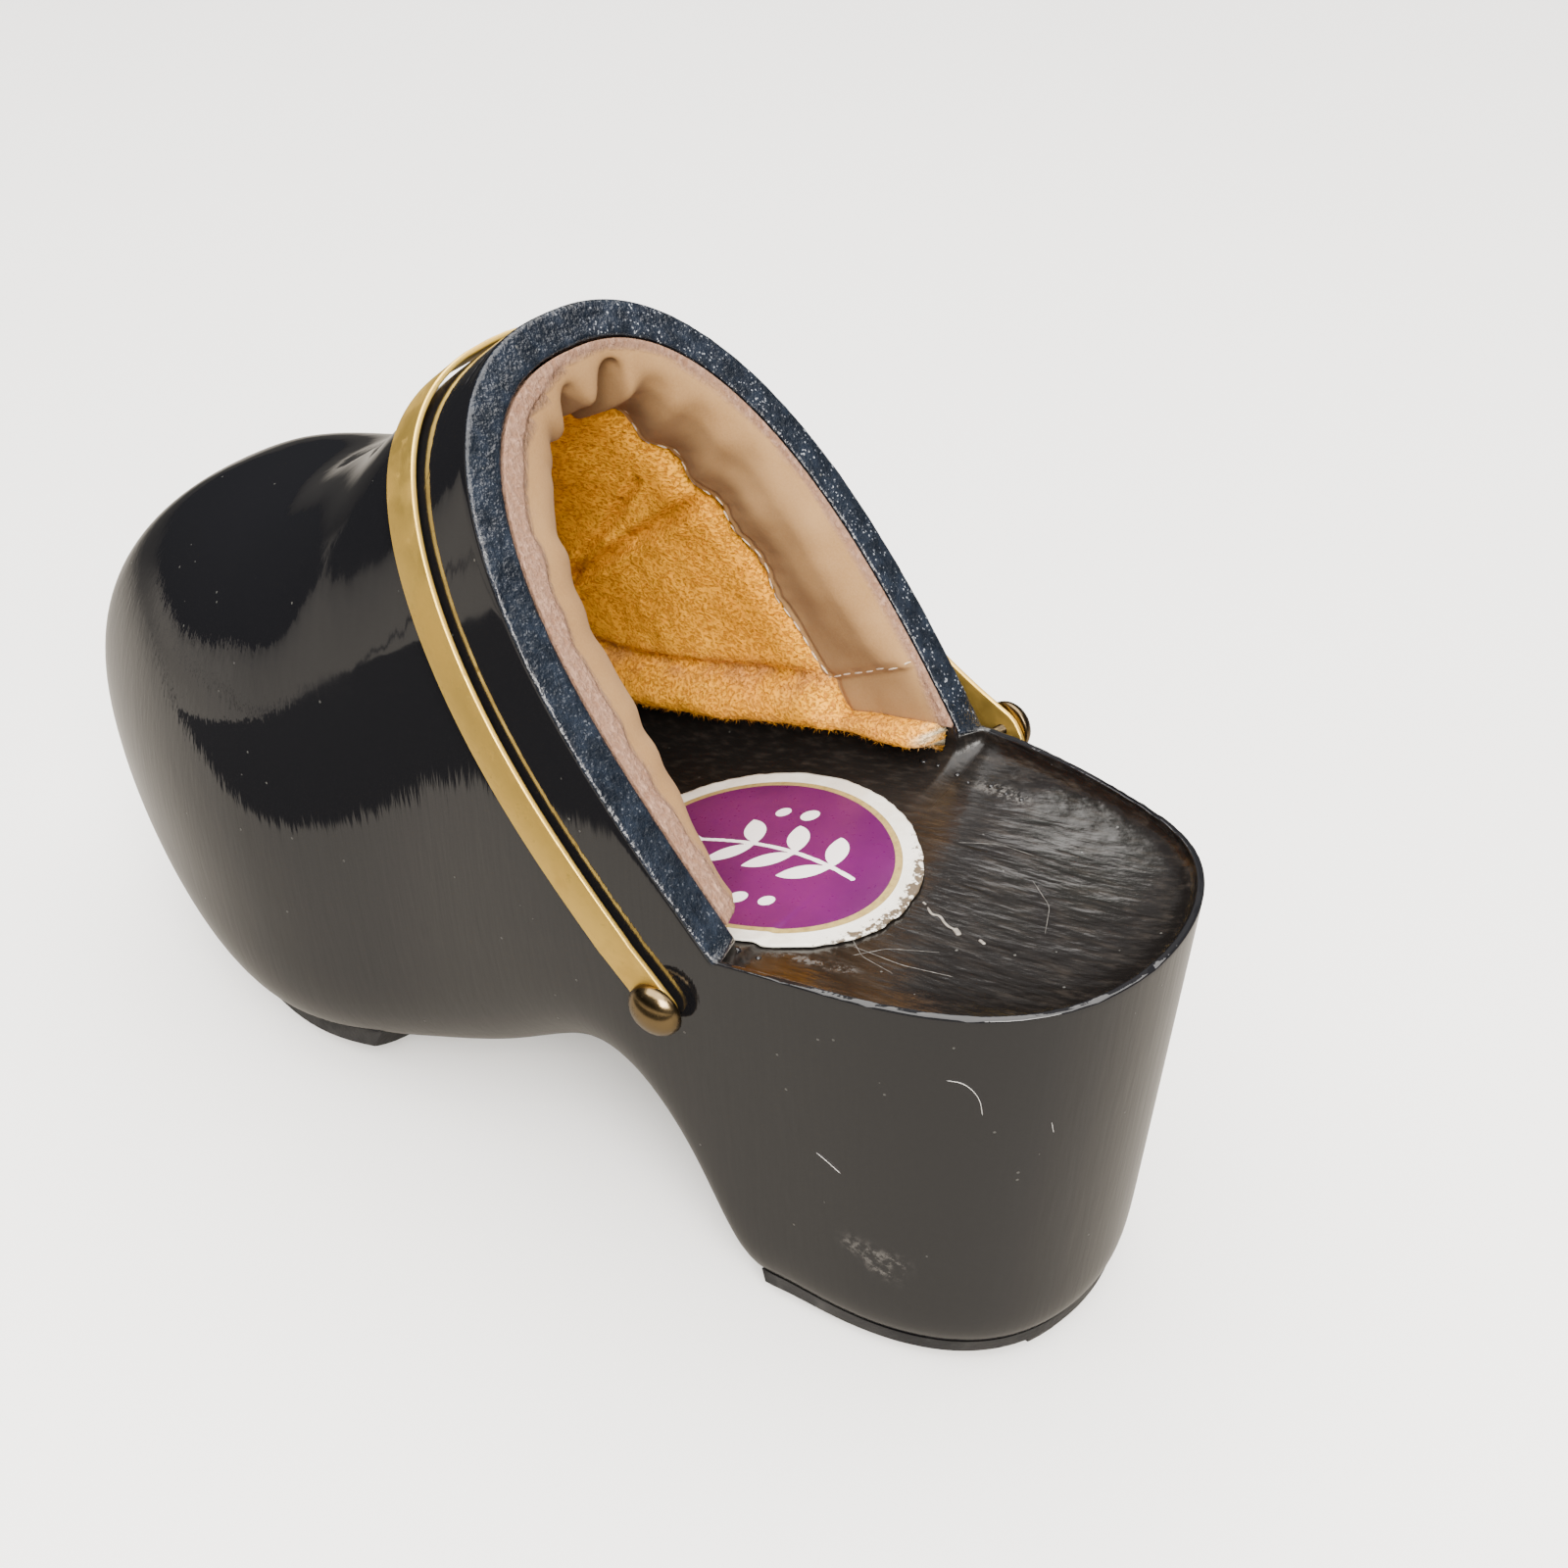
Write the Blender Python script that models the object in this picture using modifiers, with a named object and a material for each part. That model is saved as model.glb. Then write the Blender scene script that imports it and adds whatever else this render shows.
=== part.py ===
"""Platform clog, left foot: a carved, lacquered shell with rubber outsoles, a padded cuff,
a fleece toe lining, a brass instep band on two dome studs and an oval label on the seat.

Sizes are in millimetres and +X runs from heel to toe, +Y to the wearer's left, +Z up.
"""
from collections import namedtuple

import bmesh
import bpy
import numpy as np
from mathutils import Vector

MM = 0.001

# Main sizes
LENGTH = 250.0
WALL = 6.5              # upper, seen on the cut edge of the collar
RIM = 1.2               # lip between the outer side and the dished seat
GAP = 0.3               # between pieces that touch
LINING_GAP = 1.2        # between the inner wall and the soft pieces on it
HEEL_SHIFT = 2.0        # heel tip and toe tip lie to either side of the middle line
TOE_SHIFT = -3.0
SPINE_START = 44.0      # centres of the round heel and toe, where the sections fan out
SPINE_END = 196.0
SPINE_EASE = 10.0
SPINE_BEND = 100.0      # ahead of here the middle line swings towards the toe tip
TOE_TILT = -0.2         # slope of the ridge where it enters the round toe

# Collar: a plane cut that rises towards the toe from the collar's two lower ends
COLLAR_END = 59.0
COLLAR_SLOPE = 1.23
END_STEP = 1.0          # the wall stops this abruptly at the collar's ends

# Soft pieces
CUFF_DEPTH = 25.0
CUFF_THICK = 5.5
CUFF_RECESS = 0.8       # below the cut edge
CUFF_START = 1.5        # ahead of the collar's ends
CUFF_TIP = 0.012        # the cuff stops this turn short of its own point on the ridge
CUFF_FOOT = 9.0         # free height between the cuff's ends and the seat
FLEECE_THICK = 5.0
FLEECE_START = 62.0
SOFT_SPLIT = 1.0        # between cuff and fleece
FOOT_ANGLE = -0.42      # where the inner wall turns into the foot bed

# Outsoles, which end within the rounded edge between underside and side
EDGE_START = -0.88      # lift where the edge begins and ends
EDGE_END = -0.68
SOLE_EDGE = -0.80
TOE_EDGE = -1.17        # at the toe tip, where the forefoot rubber ends further in
TOE_EDGE_START = 190.0
SOLE_THICK = 3.2
HEEL_SOLE_THICK = 2.2
HEEL_SOLE_END = 54.0
FORE_SOLE_START = 150.0
LUG_HEIGHT = 2.3
LUG_INSET = 8.0
LUG_WIDTH = 7.0
LUG_STARTS = (19.0, 31.0, 43.0)
REAR_LUG_HALF = 15.0
FLOOR_CUT = 12.0

# Brass band, studs and label
BAND_AHEAD = 17.5       # ahead of the collar's cut, square to it
BAND_WIDTH = 7.5
BAND_THICK = 1.0
BAND_GAP = 0.7          # a flat strip bridges the hollow of the flare
BAND_LEVEL = 128.0      # from here on both sides lie equally far ahead of the collar
BAND_CLEAR = 88.0       # behind here a sprung end begins to stand off the side
BAND_LOWEST = -0.6      # lift below which the band never comes
BAND_STATIONS = 44
STUD_SIDES = 16
STUD_RADIUS = 5.0
STUD_RISE = 3.4
SHANK_RADIUS = 1.1
SHANK_DEPTH = 2.8
HOLE_CLEARANCE = 0.3
LABEL_CENTRE = (78.4, 3.2)
LABEL_RADII = (35.8, 24.8)
LABEL_TURN = np.radians(-22)
LABEL_THICK = 0.4
LABEL_SIDES = 32

# Mesh density
HEEL_COLUMNS = 8
COLLAR_COLUMNS = 16
PEAK_CROWDING = 1.7     # the sections stand closer towards the collar's peak
TOE_COLUMNS = 17
UNDER_ROWS = 4
EDGE_ROWS = 6
SIDE_ROWS = 11
INNER_ROWS = 19
CUFF_ROWS = 5
FLEECE_ROWS = 7

Plan = namedtuple("Plan", "x left right")
At = namedtuple("At", "x value")
BandEnd = namedtuple("BandEnd", "side x ahead tail spring")

# Outline seen from above, at the widest level of each section
PLAN = [
    Plan(7, 24, 20), Plan(28, 36.5, 31.5), Plan(60, 40.5, 40), Plan(95, 43, 43.5), Plan(130, 45, 44.5),
    Plan(165, 51, 49), Plan(200, 46.5, 48), Plan(229, 35, 39.5), Plan(244, 23, 27),
]
# Underside: heel, steep breast, arch, forefoot contact and toe spring
BOTTOM = [
    At(0, 4.5), At(20, 4.5), At(40, 4.5), At(50, 4.5), At(58, 6.5), At(66, 21.5), At(76, 34.5), At(95, 34.5),
    At(115, 21.5), At(138, 11.6), At(168, 3.3), At(192, 3.3), At(214, 9.5), At(232, 21), At(250, 34),
]
# Widest level, which is the seat's rim at the heel
LEVEL = [At(0, 89), At(40, 85), At(80, 76.5), At(110, 63), At(150, 46), At(200, 46.5), At(250, 50.4)]
# Ridge of the upper: instep, hollow of the vamp and toe
TOP = [
    At(60, 223), At(90, 189.5), At(120, 160.5), At(140, 145.5), At(152, 134.5), At(164, 126.3),
    At(176, 119.8), At(188, 116), At(196, 114.3), At(205, 112.3),
]
# Roundness of the sections below and above the widest level, 2 is an ellipse and more is squarer
LOW_POWER = [At(0, 24), At(50, 20), At(75, 7), At(100, 3.6), At(150, 3.9), At(200, 3), At(250, 2.3)]
HIGH_POWER = [At(0, 2.5), At(120, 2.4), At(175, 2.35), At(250, 2.1)]
# Share by which the sides draw in towards the ground
TAPER = [At(0, 0.07), At(60, 0.06), At(110, 0.025), At(160, 0), At(250, 0)]
# Foot bed, and the level where the inner wall is widest
FLOOR = [At(0, 83), At(40, 78.5), At(60, 75), At(80, 69.5), At(110, 59), At(150, 46.5), At(180, 42),
         At(210, 42), At(250, 50)]
INNER_LEVEL = [At(0, 89), At(40, 85), At(60, 81.5), At(80, 77), At(110, 70), At(150, 60), At(200, 58), At(250, 62)]
FLOOR_POWER = [At(0, 2.6), At(60, 3), At(110, 4), At(250, 3)]
BAND_ENDS = {"left": BandEnd(1, 69.2, 16.5, 3.5, 0.0), "right": BandEnd(-1, 57.5, 0.2, 5.5, 3.3)}


def smooth(xs, ys):
    """Natural cubic spline through a table, held constant past its ends."""
    xs = np.asarray(xs, float)
    ys = np.asarray(ys, float)
    step = np.diff(xs)
    count = len(xs)
    matrix = np.eye(count)
    right = np.zeros(count)
    for i in range(1, count - 1):
        matrix[i, i - 1:i + 2] = step[i - 1], 2 * (step[i - 1] + step[i]), step[i]
        right[i] = 6 * ((ys[i + 1] - ys[i]) / step[i] - (ys[i] - ys[i - 1]) / step[i - 1])
    bend = np.linalg.solve(matrix, right)

    def value(x):
        x = np.clip(x, xs[0], xs[-1])
        k = np.clip(np.searchsorted(xs, x) - 1, 0, count - 2)
        a = (xs[k + 1] - x) / step[k]
        b = 1 - a
        curve = (a**3 - a) * bend[k] + (b**3 - b) * bend[k + 1]
        return a * ys[k] + b * ys[k + 1] + curve * step[k]**2 / 6

    return value


def table(rows):
    return smooth([row.x for row in rows], [row.value for row in rows])


def angle(x):
    """Angle around the outline, 0 at the heel tip and pi at the toe tip, that lies at length x."""
    return np.arccos(1 - 2 * np.asarray(x, float) / LENGTH)


def plan_curve():
    """Sideways place of the outline as a closed curve of the angle around it."""
    stations = angle([row.x for row in PLAN])
    left = [row.left for row in PLAN]
    right = [-row.right for row in PLAN]
    turn = 2 * np.pi
    angles = np.concatenate([[0], stations, [np.pi], turn - stations[::-1]])
    places = np.concatenate([[HEEL_SHIFT], left, [TOE_SHIFT], right[::-1]])
    laps = [angles - turn, angles, angles + turn]
    return smooth(np.concatenate(laps), np.tile(places, 3))


plan_y = plan_curve()


def outline(turn, inset):
    """Point of the outline at an angle, moved inwards by an inset."""
    small = 1e-4
    x = LENGTH * (1 - np.cos(turn)) / 2
    y = plan_y(turn)
    along_x = LENGTH * np.sin(turn) / 2
    along_y = (plan_y(turn + small) - plan_y(turn - small)) / (2 * small)
    size = np.hypot(along_x, along_y)
    return x + inset * along_y / size, y - inset * along_x / size


def spine(x):
    """Middle line that the sections fan out from, eased off before heel and toe."""
    def ease(v):
        return SPINE_EASE * np.logaddexp(0, v / SPINE_EASE)
    centre_x = SPINE_START + ease(x - SPINE_START) - ease(x - SPINE_END)
    centre_y = TOE_SHIFT * np.clip((centre_x - SPINE_BEND) / (SPINE_END - SPINE_BEND), 0, 1)**2
    return centre_x, centre_y


Form = namedtuple("Form", "inset bottom level top low_power high_power taper")

top_curve = table(TOP)
level_curve = table(LEVEL)
floor_curve = table(FLOOR)


def ridge_below(depth):
    """Ridge of the upper lowered by a depth that is square to its slope."""
    def value(x):
        slope = (top_curve(x + 0.5) - top_curve(x - 0.5))
        return top_curve(x) - depth * np.hypot(1, slope)
    return value


def wall_inset(extra):
    """Inset of the inner wall: the thin rim behind the collar's ends, the full wall ahead of them."""
    def value(x):
        share = np.clip((x - COLLAR_END + END_STEP) / END_STEP, 0, 1)
        return RIM + (WALL - RIM) * share + extra
    return value


def none(x):
    return np.zeros_like(x)


def inner_form(extra):
    """Inside of the shell, or a skin that lies a little clear of it."""
    return Form(
        inset=wall_inset(extra), bottom=lambda x: floor_curve(x) + extra, level=table(INNER_LEVEL),
        top=ridge_below(WALL + extra), low_power=table(FLOOR_POWER), high_power=table(HIGH_POWER), taper=none)


outer = Form(
    inset=none, bottom=table(BOTTOM), level=level_curve, top=top_curve,
    low_power=table(LOW_POWER), high_power=table(HIGH_POWER), taper=table(TAPER))
inner = inner_form(0.0)
soft_base = inner_form(LINING_GAP)


def surface(form, turn, lift):
    """Point of a form: turn goes round the outline, lift from -pi/2 underneath to pi/2 on the ridge."""
    outer_x = LENGTH * (1 - np.cos(turn)) / 2
    edge_x, edge_y = outline(turn, form.inset(outer_x))
    centre_x, centre_y = spine(outer_x)
    low = lift < 0
    power = np.where(low, form.low_power(edge_x), form.high_power(edge_x))
    across = np.abs(np.cos(lift))
    up = np.abs(np.sin(lift))
    size = (across**power + up**power)**(-1 / power)
    reach = across * size
    rise = up * size
    drawn = reach * np.where(low, 1 - form.taper(edge_x) * rise, 1)
    level = form.level(edge_x)
    under = level - rise * (level - form.bottom(centre_x + reach * (edge_x - centre_x)))
    x = centre_x + drawn * (edge_x - centre_x)
    over = level + rise * (form.top(centre_x) - level) + TOE_TILT * rise**2 * np.maximum(x - centre_x, 0)
    y = centre_y + drawn * (edge_y - centre_y)
    return np.stack([x, y, np.where(low, under, over)], -1)


def normal(form, turn, lift):
    """Outward direction of a form's surface."""
    small = 1e-3
    along = surface(form, turn + small, lift) - surface(form, turn - small, lift)
    upward = surface(form, turn, lift + small) - surface(form, turn, lift - small)
    square = np.cross(upward, along)
    return square / np.linalg.norm(square, axis=-1, keepdims=True)


def cut_height(x, ahead):
    """Height of a plane parallel to the collar's cut, a given distance ahead of it."""
    start = level_curve(COLLAR_END)
    return start + COLLAR_SLOPE * (x - COLLAR_END) - ahead * np.hypot(1, COLLAR_SLOPE)


def crossing(form, turns, height, lowest):
    """Lift at which each section first rises above a height that depends on x and its own turn."""
    low = np.full_like(turns, lowest)
    high = np.full_like(turns, np.pi / 2)
    for _ in range(40):
        middle = (low + high) / 2
        place = surface(form, turns, middle)
        above = place[..., 2] > height(place[..., 0])
        high = np.where(above, middle, high)
        low = np.where(above, low, middle)
    return high


def ridge_meeting(form, ahead):
    """Length at which the ridge of a form meets a plane parallel to the collar's cut."""
    low, high = COLLAR_END, SPINE_END
    for _ in range(60):
        middle = (low + high) / 2
        if form.top(middle) > cut_height(middle, ahead):
            low = middle
        else:
            high = middle
    return high


def turn_at_spine(x):
    """Turn of the section whose middle line point lies at length x."""
    low, high = 0.0, np.pi
    for _ in range(60):
        middle = (low + high) / 2
        if spine(LENGTH * (1 - np.cos(middle)) / 2)[0] < x:
            low = middle
        else:
            high = middle
    return high


def left_turns(form):
    """Turns of the left side's sections, with one on each edge of the collar's end and one on its peak."""
    peak = turn_at_spine(ridge_meeting(form, 0.0))
    heel = np.linspace(0, angle(COLLAR_END - END_STEP), HEEL_COLUMNS)
    closing = (1 - np.linspace(0, 1, COLLAR_COLUMNS))**PEAK_CROWDING
    collar = peak - (peak - angle(COLLAR_END)) * closing
    toe = np.linspace(peak, np.pi, TOE_COLUMNS + 1)[1:]
    return np.concatenate([heel, collar, toe])


PEAK_COLUMN = HEEL_COLUMNS + COLLAR_COLUMNS - 1


def both_sides(turns):
    """All turns round the outline from those of the left side."""
    return np.concatenate([turns, 2 * np.pi - turns[-2:0:-1]])


def collar_height(x):
    return cut_height(x, 0.0)


def top_lifts(form, turns):
    """Lift where each section ends: the rim, the collar's cut or the ridge."""
    x = LENGTH * (1 - np.cos(turns)) / 2
    lifts = crossing(form, turns, collar_height, 0.0)
    lifts = np.where(x < COLLAR_END - END_STEP / 2, 0.0, lifts)
    middle = spine(x)[0]
    whole = form.top(middle) <= cut_height(middle, 0.0) + 1e-6
    return np.where(whole & (x > COLLAR_END), np.pi / 2, lifts)


def add_object(name, points, faces, collection, material):
    """Mesh object from points in millimetres, its doubled points joined and its thin faces removed."""
    mesh = bpy.data.meshes.new(name)
    centred = (np.asarray(points) - ORIGIN) * MM
    mesh.from_pydata(centred.tolist(), [], faces)
    work = bmesh.new()
    work.from_mesh(mesh)
    bmesh.ops.remove_doubles(work, verts=work.verts, dist=0.1 * MM)
    bmesh.ops.dissolve_degenerate(work, edges=work.edges, dist=0.05 * MM)
    work.to_mesh(mesh)
    work.free()
    mesh.shade_smooth()
    thing = bpy.data.objects.new(name, mesh)
    collection.objects.link(thing)
    if material:
        mesh.materials.append(material)
    return thing


def grid_faces(columns, rows, closed, skip=None):
    """Faces of a grid whose columns follow the outline and whose rows climb outwards and up."""
    faces = []
    for k in range(columns if closed else columns - 1):
        n = (k + 1) % columns
        for j in range(rows - 1):
            if skip is None or not skip(k, n, j):
                faces.append((k * rows + j, k * rows + j + 1, n * rows + j + 1, n * rows + j))
    return faces


def principled(name, colour, roughness, metallic):
    material = bpy.data.materials.new(name)
    material.use_nodes = True
    shader = material.node_tree.nodes["Principled BSDF"]
    shader.inputs["Base Color"].default_value = (*colour, 1)
    shader.inputs["Roughness"].default_value = roughness
    shader.inputs["Metallic"].default_value = metallic
    return material


def cut(target, cutter, operation="DIFFERENCE"):
    boolean = target.modifiers.new(f"{operation.lower()}_{cutter.name}", "BOOLEAN")
    boolean.operation = operation
    boolean.solver = "EXACT"
    boolean.object = cutter


def as_cutter(thing):
    thing.hide_render = True
    thing.display_type = "WIRE"
    return thing


def thicken(thing, thickness, outwards):
    solid = thing.modifiers.new("thickness", "SOLIDIFY")
    solid.thickness = thickness * MM
    solid.offset = 1 if outwards else -1


def underside_lifts():
    """Lifts of the rows under the shell and round its lower edge."""
    under = np.linspace(-np.pi / 2, EDGE_START, UNDER_ROWS, endpoint=False)
    return np.concatenate([under, np.linspace(EDGE_START, EDGE_END, EDGE_ROWS)])


def build_shell():
    """Sole and upper carved in one: outer side, cut edge and inside as one loft round the outline."""
    outside = both_sides(left_turns(outer))
    inside = both_sides(left_turns(inner))
    climb = np.linspace(0, 1, SIDE_ROWS + 1)[1:]
    sink = np.linspace(1, 0, INNER_ROWS)
    under = -np.pi / 2
    outer_tops = top_lifts(outer, outside)[:, None]
    side_lifts = EDGE_END + climb * (outer_tops - EDGE_END)
    sole_lifts = np.tile(underside_lifts(), (len(outside), 1))
    outer_lifts = np.concatenate([sole_lifts, side_lifts], axis=1)
    inner_lifts = under + sink * (top_lifts(inner, inside)[:, None] - under)
    skin = surface(outer, outside[:, None], outer_lifts)
    lining = surface(inner, inside[:, None], inner_lifts)
    points = np.concatenate([skin, lining], axis=1)
    columns, rows = points.shape[:2]
    front = range(PEAK_COLUMN, columns - PEAK_COLUMN + 1)

    def closed_ridge(k, n, j):
        return j == outer_lifts.shape[1] - 1 and k in front and n in front

    faces = grid_faces(columns, rows, True, closed_ridge)
    return add_object("clog_shell", points.reshape(-1, 3), faces, parts, lacquer)


def soft_turns(start, last, ahead):
    """Turns of the shell's own inner sections between two, with one where a plane meets the ridge."""
    peak = turn_at_spine(ridge_meeting(soft_base, ahead))
    inside = left_turns(inner)
    clear = np.abs(inside - peak) > 0.01
    kept = inside[(inside > start + 0.01) & (inside < last - 0.01) & clear]
    return np.sort(np.concatenate([[start], kept, [peak, last]]))


def soft_tops(turns, height, ahead):
    """Lift where a soft piece ends upwards, at a plane ahead of the collar or on the ridge."""
    lifts = crossing(soft_base, turns, height, FOOT_ANGLE)
    middle = spine(LENGTH * (1 - np.cos(turns)) / 2)[0]
    whole = soft_base.top(middle) < cut_height(middle, ahead) + 0.01
    return np.where(whole, np.pi / 2, lifts)


def cuff_edge(extra):
    """Lower edge of the cuff: parallel to the collar, and level with the seat at the cuff's ends."""
    def height(x):
        foot = floor_curve(x) + CUFF_FOOT - extra
        return np.maximum(cut_height(x, CUFF_DEPTH + extra), foot)
    return height


def build_cuff():
    """Padded cuff round the inside of the collar, from one end over the throat to the other."""
    last = turn_at_spine(ridge_meeting(soft_base, CUFF_DEPTH)) - CUFF_TIP
    turns = soft_turns(angle(COLLAR_END + CUFF_START), last, CUFF_RECESS)
    low = crossing(soft_base, turns, cuff_edge(0.0), FOOT_ANGLE)
    high = soft_tops(turns, lambda x: cut_height(x, CUFF_RECESS), CUFF_RECESS)
    return soft_patch("collar_cuff", turns, low, high, CUFF_ROWS, CUFF_THICK, suede)


def soft_patch(name, turns, low, high, rows, thickness, material):
    """Skin on the inside of the shell, in two mirrored halves that meet on the ridge, thickened inwards."""
    blend = np.linspace(0, 1, rows)
    lifts = low[:, None] + blend * (high - low)[:, None]
    left = surface(soft_base, turns[:, None], lifts)
    right = surface(soft_base, 2 * np.pi - turns[:, None], lifts)
    half = grid_faces(len(turns), rows, False)
    other = [tuple(i + left.size // 3 for i in reversed(face)) for face in half]
    points = np.concatenate([left.reshape(-1, 3), right.reshape(-1, 3)])
    patch = add_object(name, points, half + other, parts, material)
    thicken(patch, thickness, outwards=False)
    return patch


def build_fleece():
    """Fleece on the walls and roof of the toe box, from the cuff's lower edge down to the foot bed."""
    ahead = CUFF_DEPTH + SOFT_SPLIT
    turns = soft_turns(angle(FLEECE_START), np.pi, ahead)
    low = np.full_like(turns, FOOT_ANGLE)
    high = soft_tops(turns, cuff_edge(SOFT_SPLIT), ahead)
    return soft_patch("fleece_lining", turns, low, high, FLEECE_ROWS, FLEECE_THICK, fleece)


def sole_layer(name, turns, edge_lifts, thickness):
    """Rubber layer that follows the underside of the shell out to an edge."""
    under = -np.pi / 2
    rows = underside_lifts()
    rows = rows[rows < SOLE_EDGE + 0.001]
    shares = (rows - under) / (rows[-1] - under)
    lifts = under + shares * (edge_lifts[:, None] - under)
    skin = surface(outer, turns[:, None], lifts)
    facing = normal(outer, turns[:, None], np.maximum(lifts, under + 0.01))
    clear = skin + GAP * facing
    layer = add_object(name, clear.reshape(-1, 3), grid_faces(len(turns), len(rows), False), parts, rubber)
    thicken(layer, thickness, outwards=True)
    return layer


def build_heel_sole():
    """Heel rubber with a lug on its back edge and bars across it, worn level with the ground."""
    side = left_turns(outer)
    side = side[side < angle(HEEL_SOLE_END)]
    turns = np.concatenate([-side[:0:-1], side])
    layer = sole_layer("outsole_heel", turns, np.full_like(turns, SOLE_EDGE), HEEL_SOLE_THICK)
    points = []
    faces = []

    def add_lug(corners):
        faces.append(tuple(range(len(points), len(points) + len(corners))))
        points.extend((x, y, 0.0) for x, y in corners)

    edge = surface(outer, turns, np.full_like(turns, SOLE_EDGE))
    rear = [(x + 1.0, y) for x, y, z in edge if abs(y - HEEL_SHIFT) < REAR_LUG_HALF]
    add_lug(rear + [(x + LUG_WIDTH, y) for x, y in reversed(rear)])
    for start in LUG_STARTS:
        half = np.interp(start, [row.x for row in PLAN], [row.right for row in PLAN]) - LUG_INSET
        end = start + LUG_WIDTH
        add_lug([(start, -half), (start, half), (end, half), (end, -half)])
    lugs = as_cutter(add_object("heel_lugs", points, faces, cutters, None))
    thicken_up(lugs, LUG_HEIGHT)
    cut(layer, lugs, "UNION")
    return layer


def thicken_up(thing, height):
    """Give flat outlines a height above the ground."""
    work = bmesh.new()
    work.from_mesh(thing.data)
    bmesh.ops.recalc_face_normals(work, faces=work.faces)
    grown = bmesh.ops.extrude_face_region(work, geom=work.faces[:])
    risen = [item for item in grown["geom"] if isinstance(item, bmesh.types.BMVert)]
    bmesh.ops.translate(work, verts=risen, vec=(0, 0, height * MM))
    bmesh.ops.recalc_face_normals(work, faces=work.faces)
    work.to_mesh(thing.data)
    work.free()


def build_fore_sole():
    """Forefoot rubber with toe spring, worn flat where it meets the ground."""
    side = left_turns(outer)
    side = side[side > angle(FORE_SOLE_START)]
    turns = np.concatenate([side, 2 * np.pi - side[-2::-1]])
    x = LENGTH * (1 - np.cos(turns)) / 2
    towards_toe = np.clip((x - TOE_EDGE_START) / (LENGTH - TOE_EDGE_START), 0, 1)
    edge = SOLE_EDGE + (TOE_EDGE - SOLE_EDGE) * towards_toe
    layer = sole_layer("outsole_forefoot", turns, edge, SOLE_THICK)
    bpy.ops.mesh.primitive_cube_add(size=1, location=(0, 0, -FLOOR_CUT / 2 * MM))
    ground = as_cutter(bpy.context.object)
    ground.name = "ground"
    ground.scale = (2 * LENGTH * MM, LENGTH * MM, FLOOR_CUT * MM)
    move_to(ground, cutters)
    cut(layer, ground)
    return layer


def move_to(thing, collection):
    for owner in list(thing.users_collection):
        owner.objects.unlink(thing)
    collection.objects.link(thing)


def band_gap(end, x):
    """Distance between the band and the side of the upper, larger towards a sprung end."""
    share = np.clip((BAND_CLEAR - x) / (BAND_CLEAR - end.x), 0, 1)
    return BAND_GAP + end.spring * share**2


def band_path():
    """Middle line of the band over the instep as turns, lifts and gaps, and its two stud places."""
    runs = {}
    peak_x = ridge_meeting(outer, BAND_AHEAD)
    peak = turn_at_spine(peak_x)
    for name, end in BAND_ENDS.items():
        first = angle(end.x - end.tail / np.hypot(1, COLLAR_SLOPE))
        turns = np.linspace(first, peak - 1e-4, 60)

        def height(x, end=end):
            share = np.clip((x - end.x) / (BAND_LEVEL - end.x), 0, 1)
            ahead = end.ahead + (BAND_AHEAD - end.ahead) * share * (2 - share)
            return cut_height(x, ahead)

        actual = turns if end.side > 0 else 2 * np.pi - turns
        lifts = crossing(outer, actual, height, BAND_LOWEST)
        stud_turn = np.array([angle(end.x) if end.side > 0 else 2 * np.pi - angle(end.x)])
        stud_lift = crossing(outer, stud_turn, height, BAND_LOWEST)
        gaps = band_gap(end, surface(outer, actual, lifts)[:, 0])
        runs[name] = (actual, lifts, gaps, stud_turn, stud_lift, band_gap(end, end.x))
    turns, lifts, gaps = (np.concatenate([runs["left"][i], runs["right"][i][::-1]]) for i in range(3))
    studs = {name: run[3:] for name, run in runs.items()}
    return turns, lifts, gaps, studs


def build_band(turns, lifts, gaps):
    """Flat brass strip that lies on the upper over the instep."""
    centre = surface(outer, turns, lifts)
    facing = normal(outer, turns, lifts)
    travel = np.concatenate([[0], np.cumsum(np.linalg.norm(np.diff(centre, axis=0), axis=1))])
    even = np.linspace(0, travel[-1], BAND_STATIONS)
    centre = np.stack([np.interp(even, travel, centre[:, i]) for i in range(3)], -1)
    facing = np.stack([np.interp(even, travel, facing[:, i]) for i in range(3)], -1)
    gaps = np.interp(even, travel, gaps)[:, None]
    along = np.gradient(centre, axis=0)
    across = np.cross(facing, along)
    across /= np.linalg.norm(across, axis=1, keepdims=True)
    facing = np.cross(along, across)
    facing /= np.linalg.norm(facing, axis=1, keepdims=True)
    half = BAND_WIDTH / 2
    base = centre + gaps * facing
    strip = np.stack([base + half * across, base, base - half * across], axis=1)
    band = add_object("brass_band", strip.reshape(-1, 3), grid_faces(BAND_STATIONS, 3, False), parts, brass)
    thicken(band, BAND_THICK, outwards=True)
    return band


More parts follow.
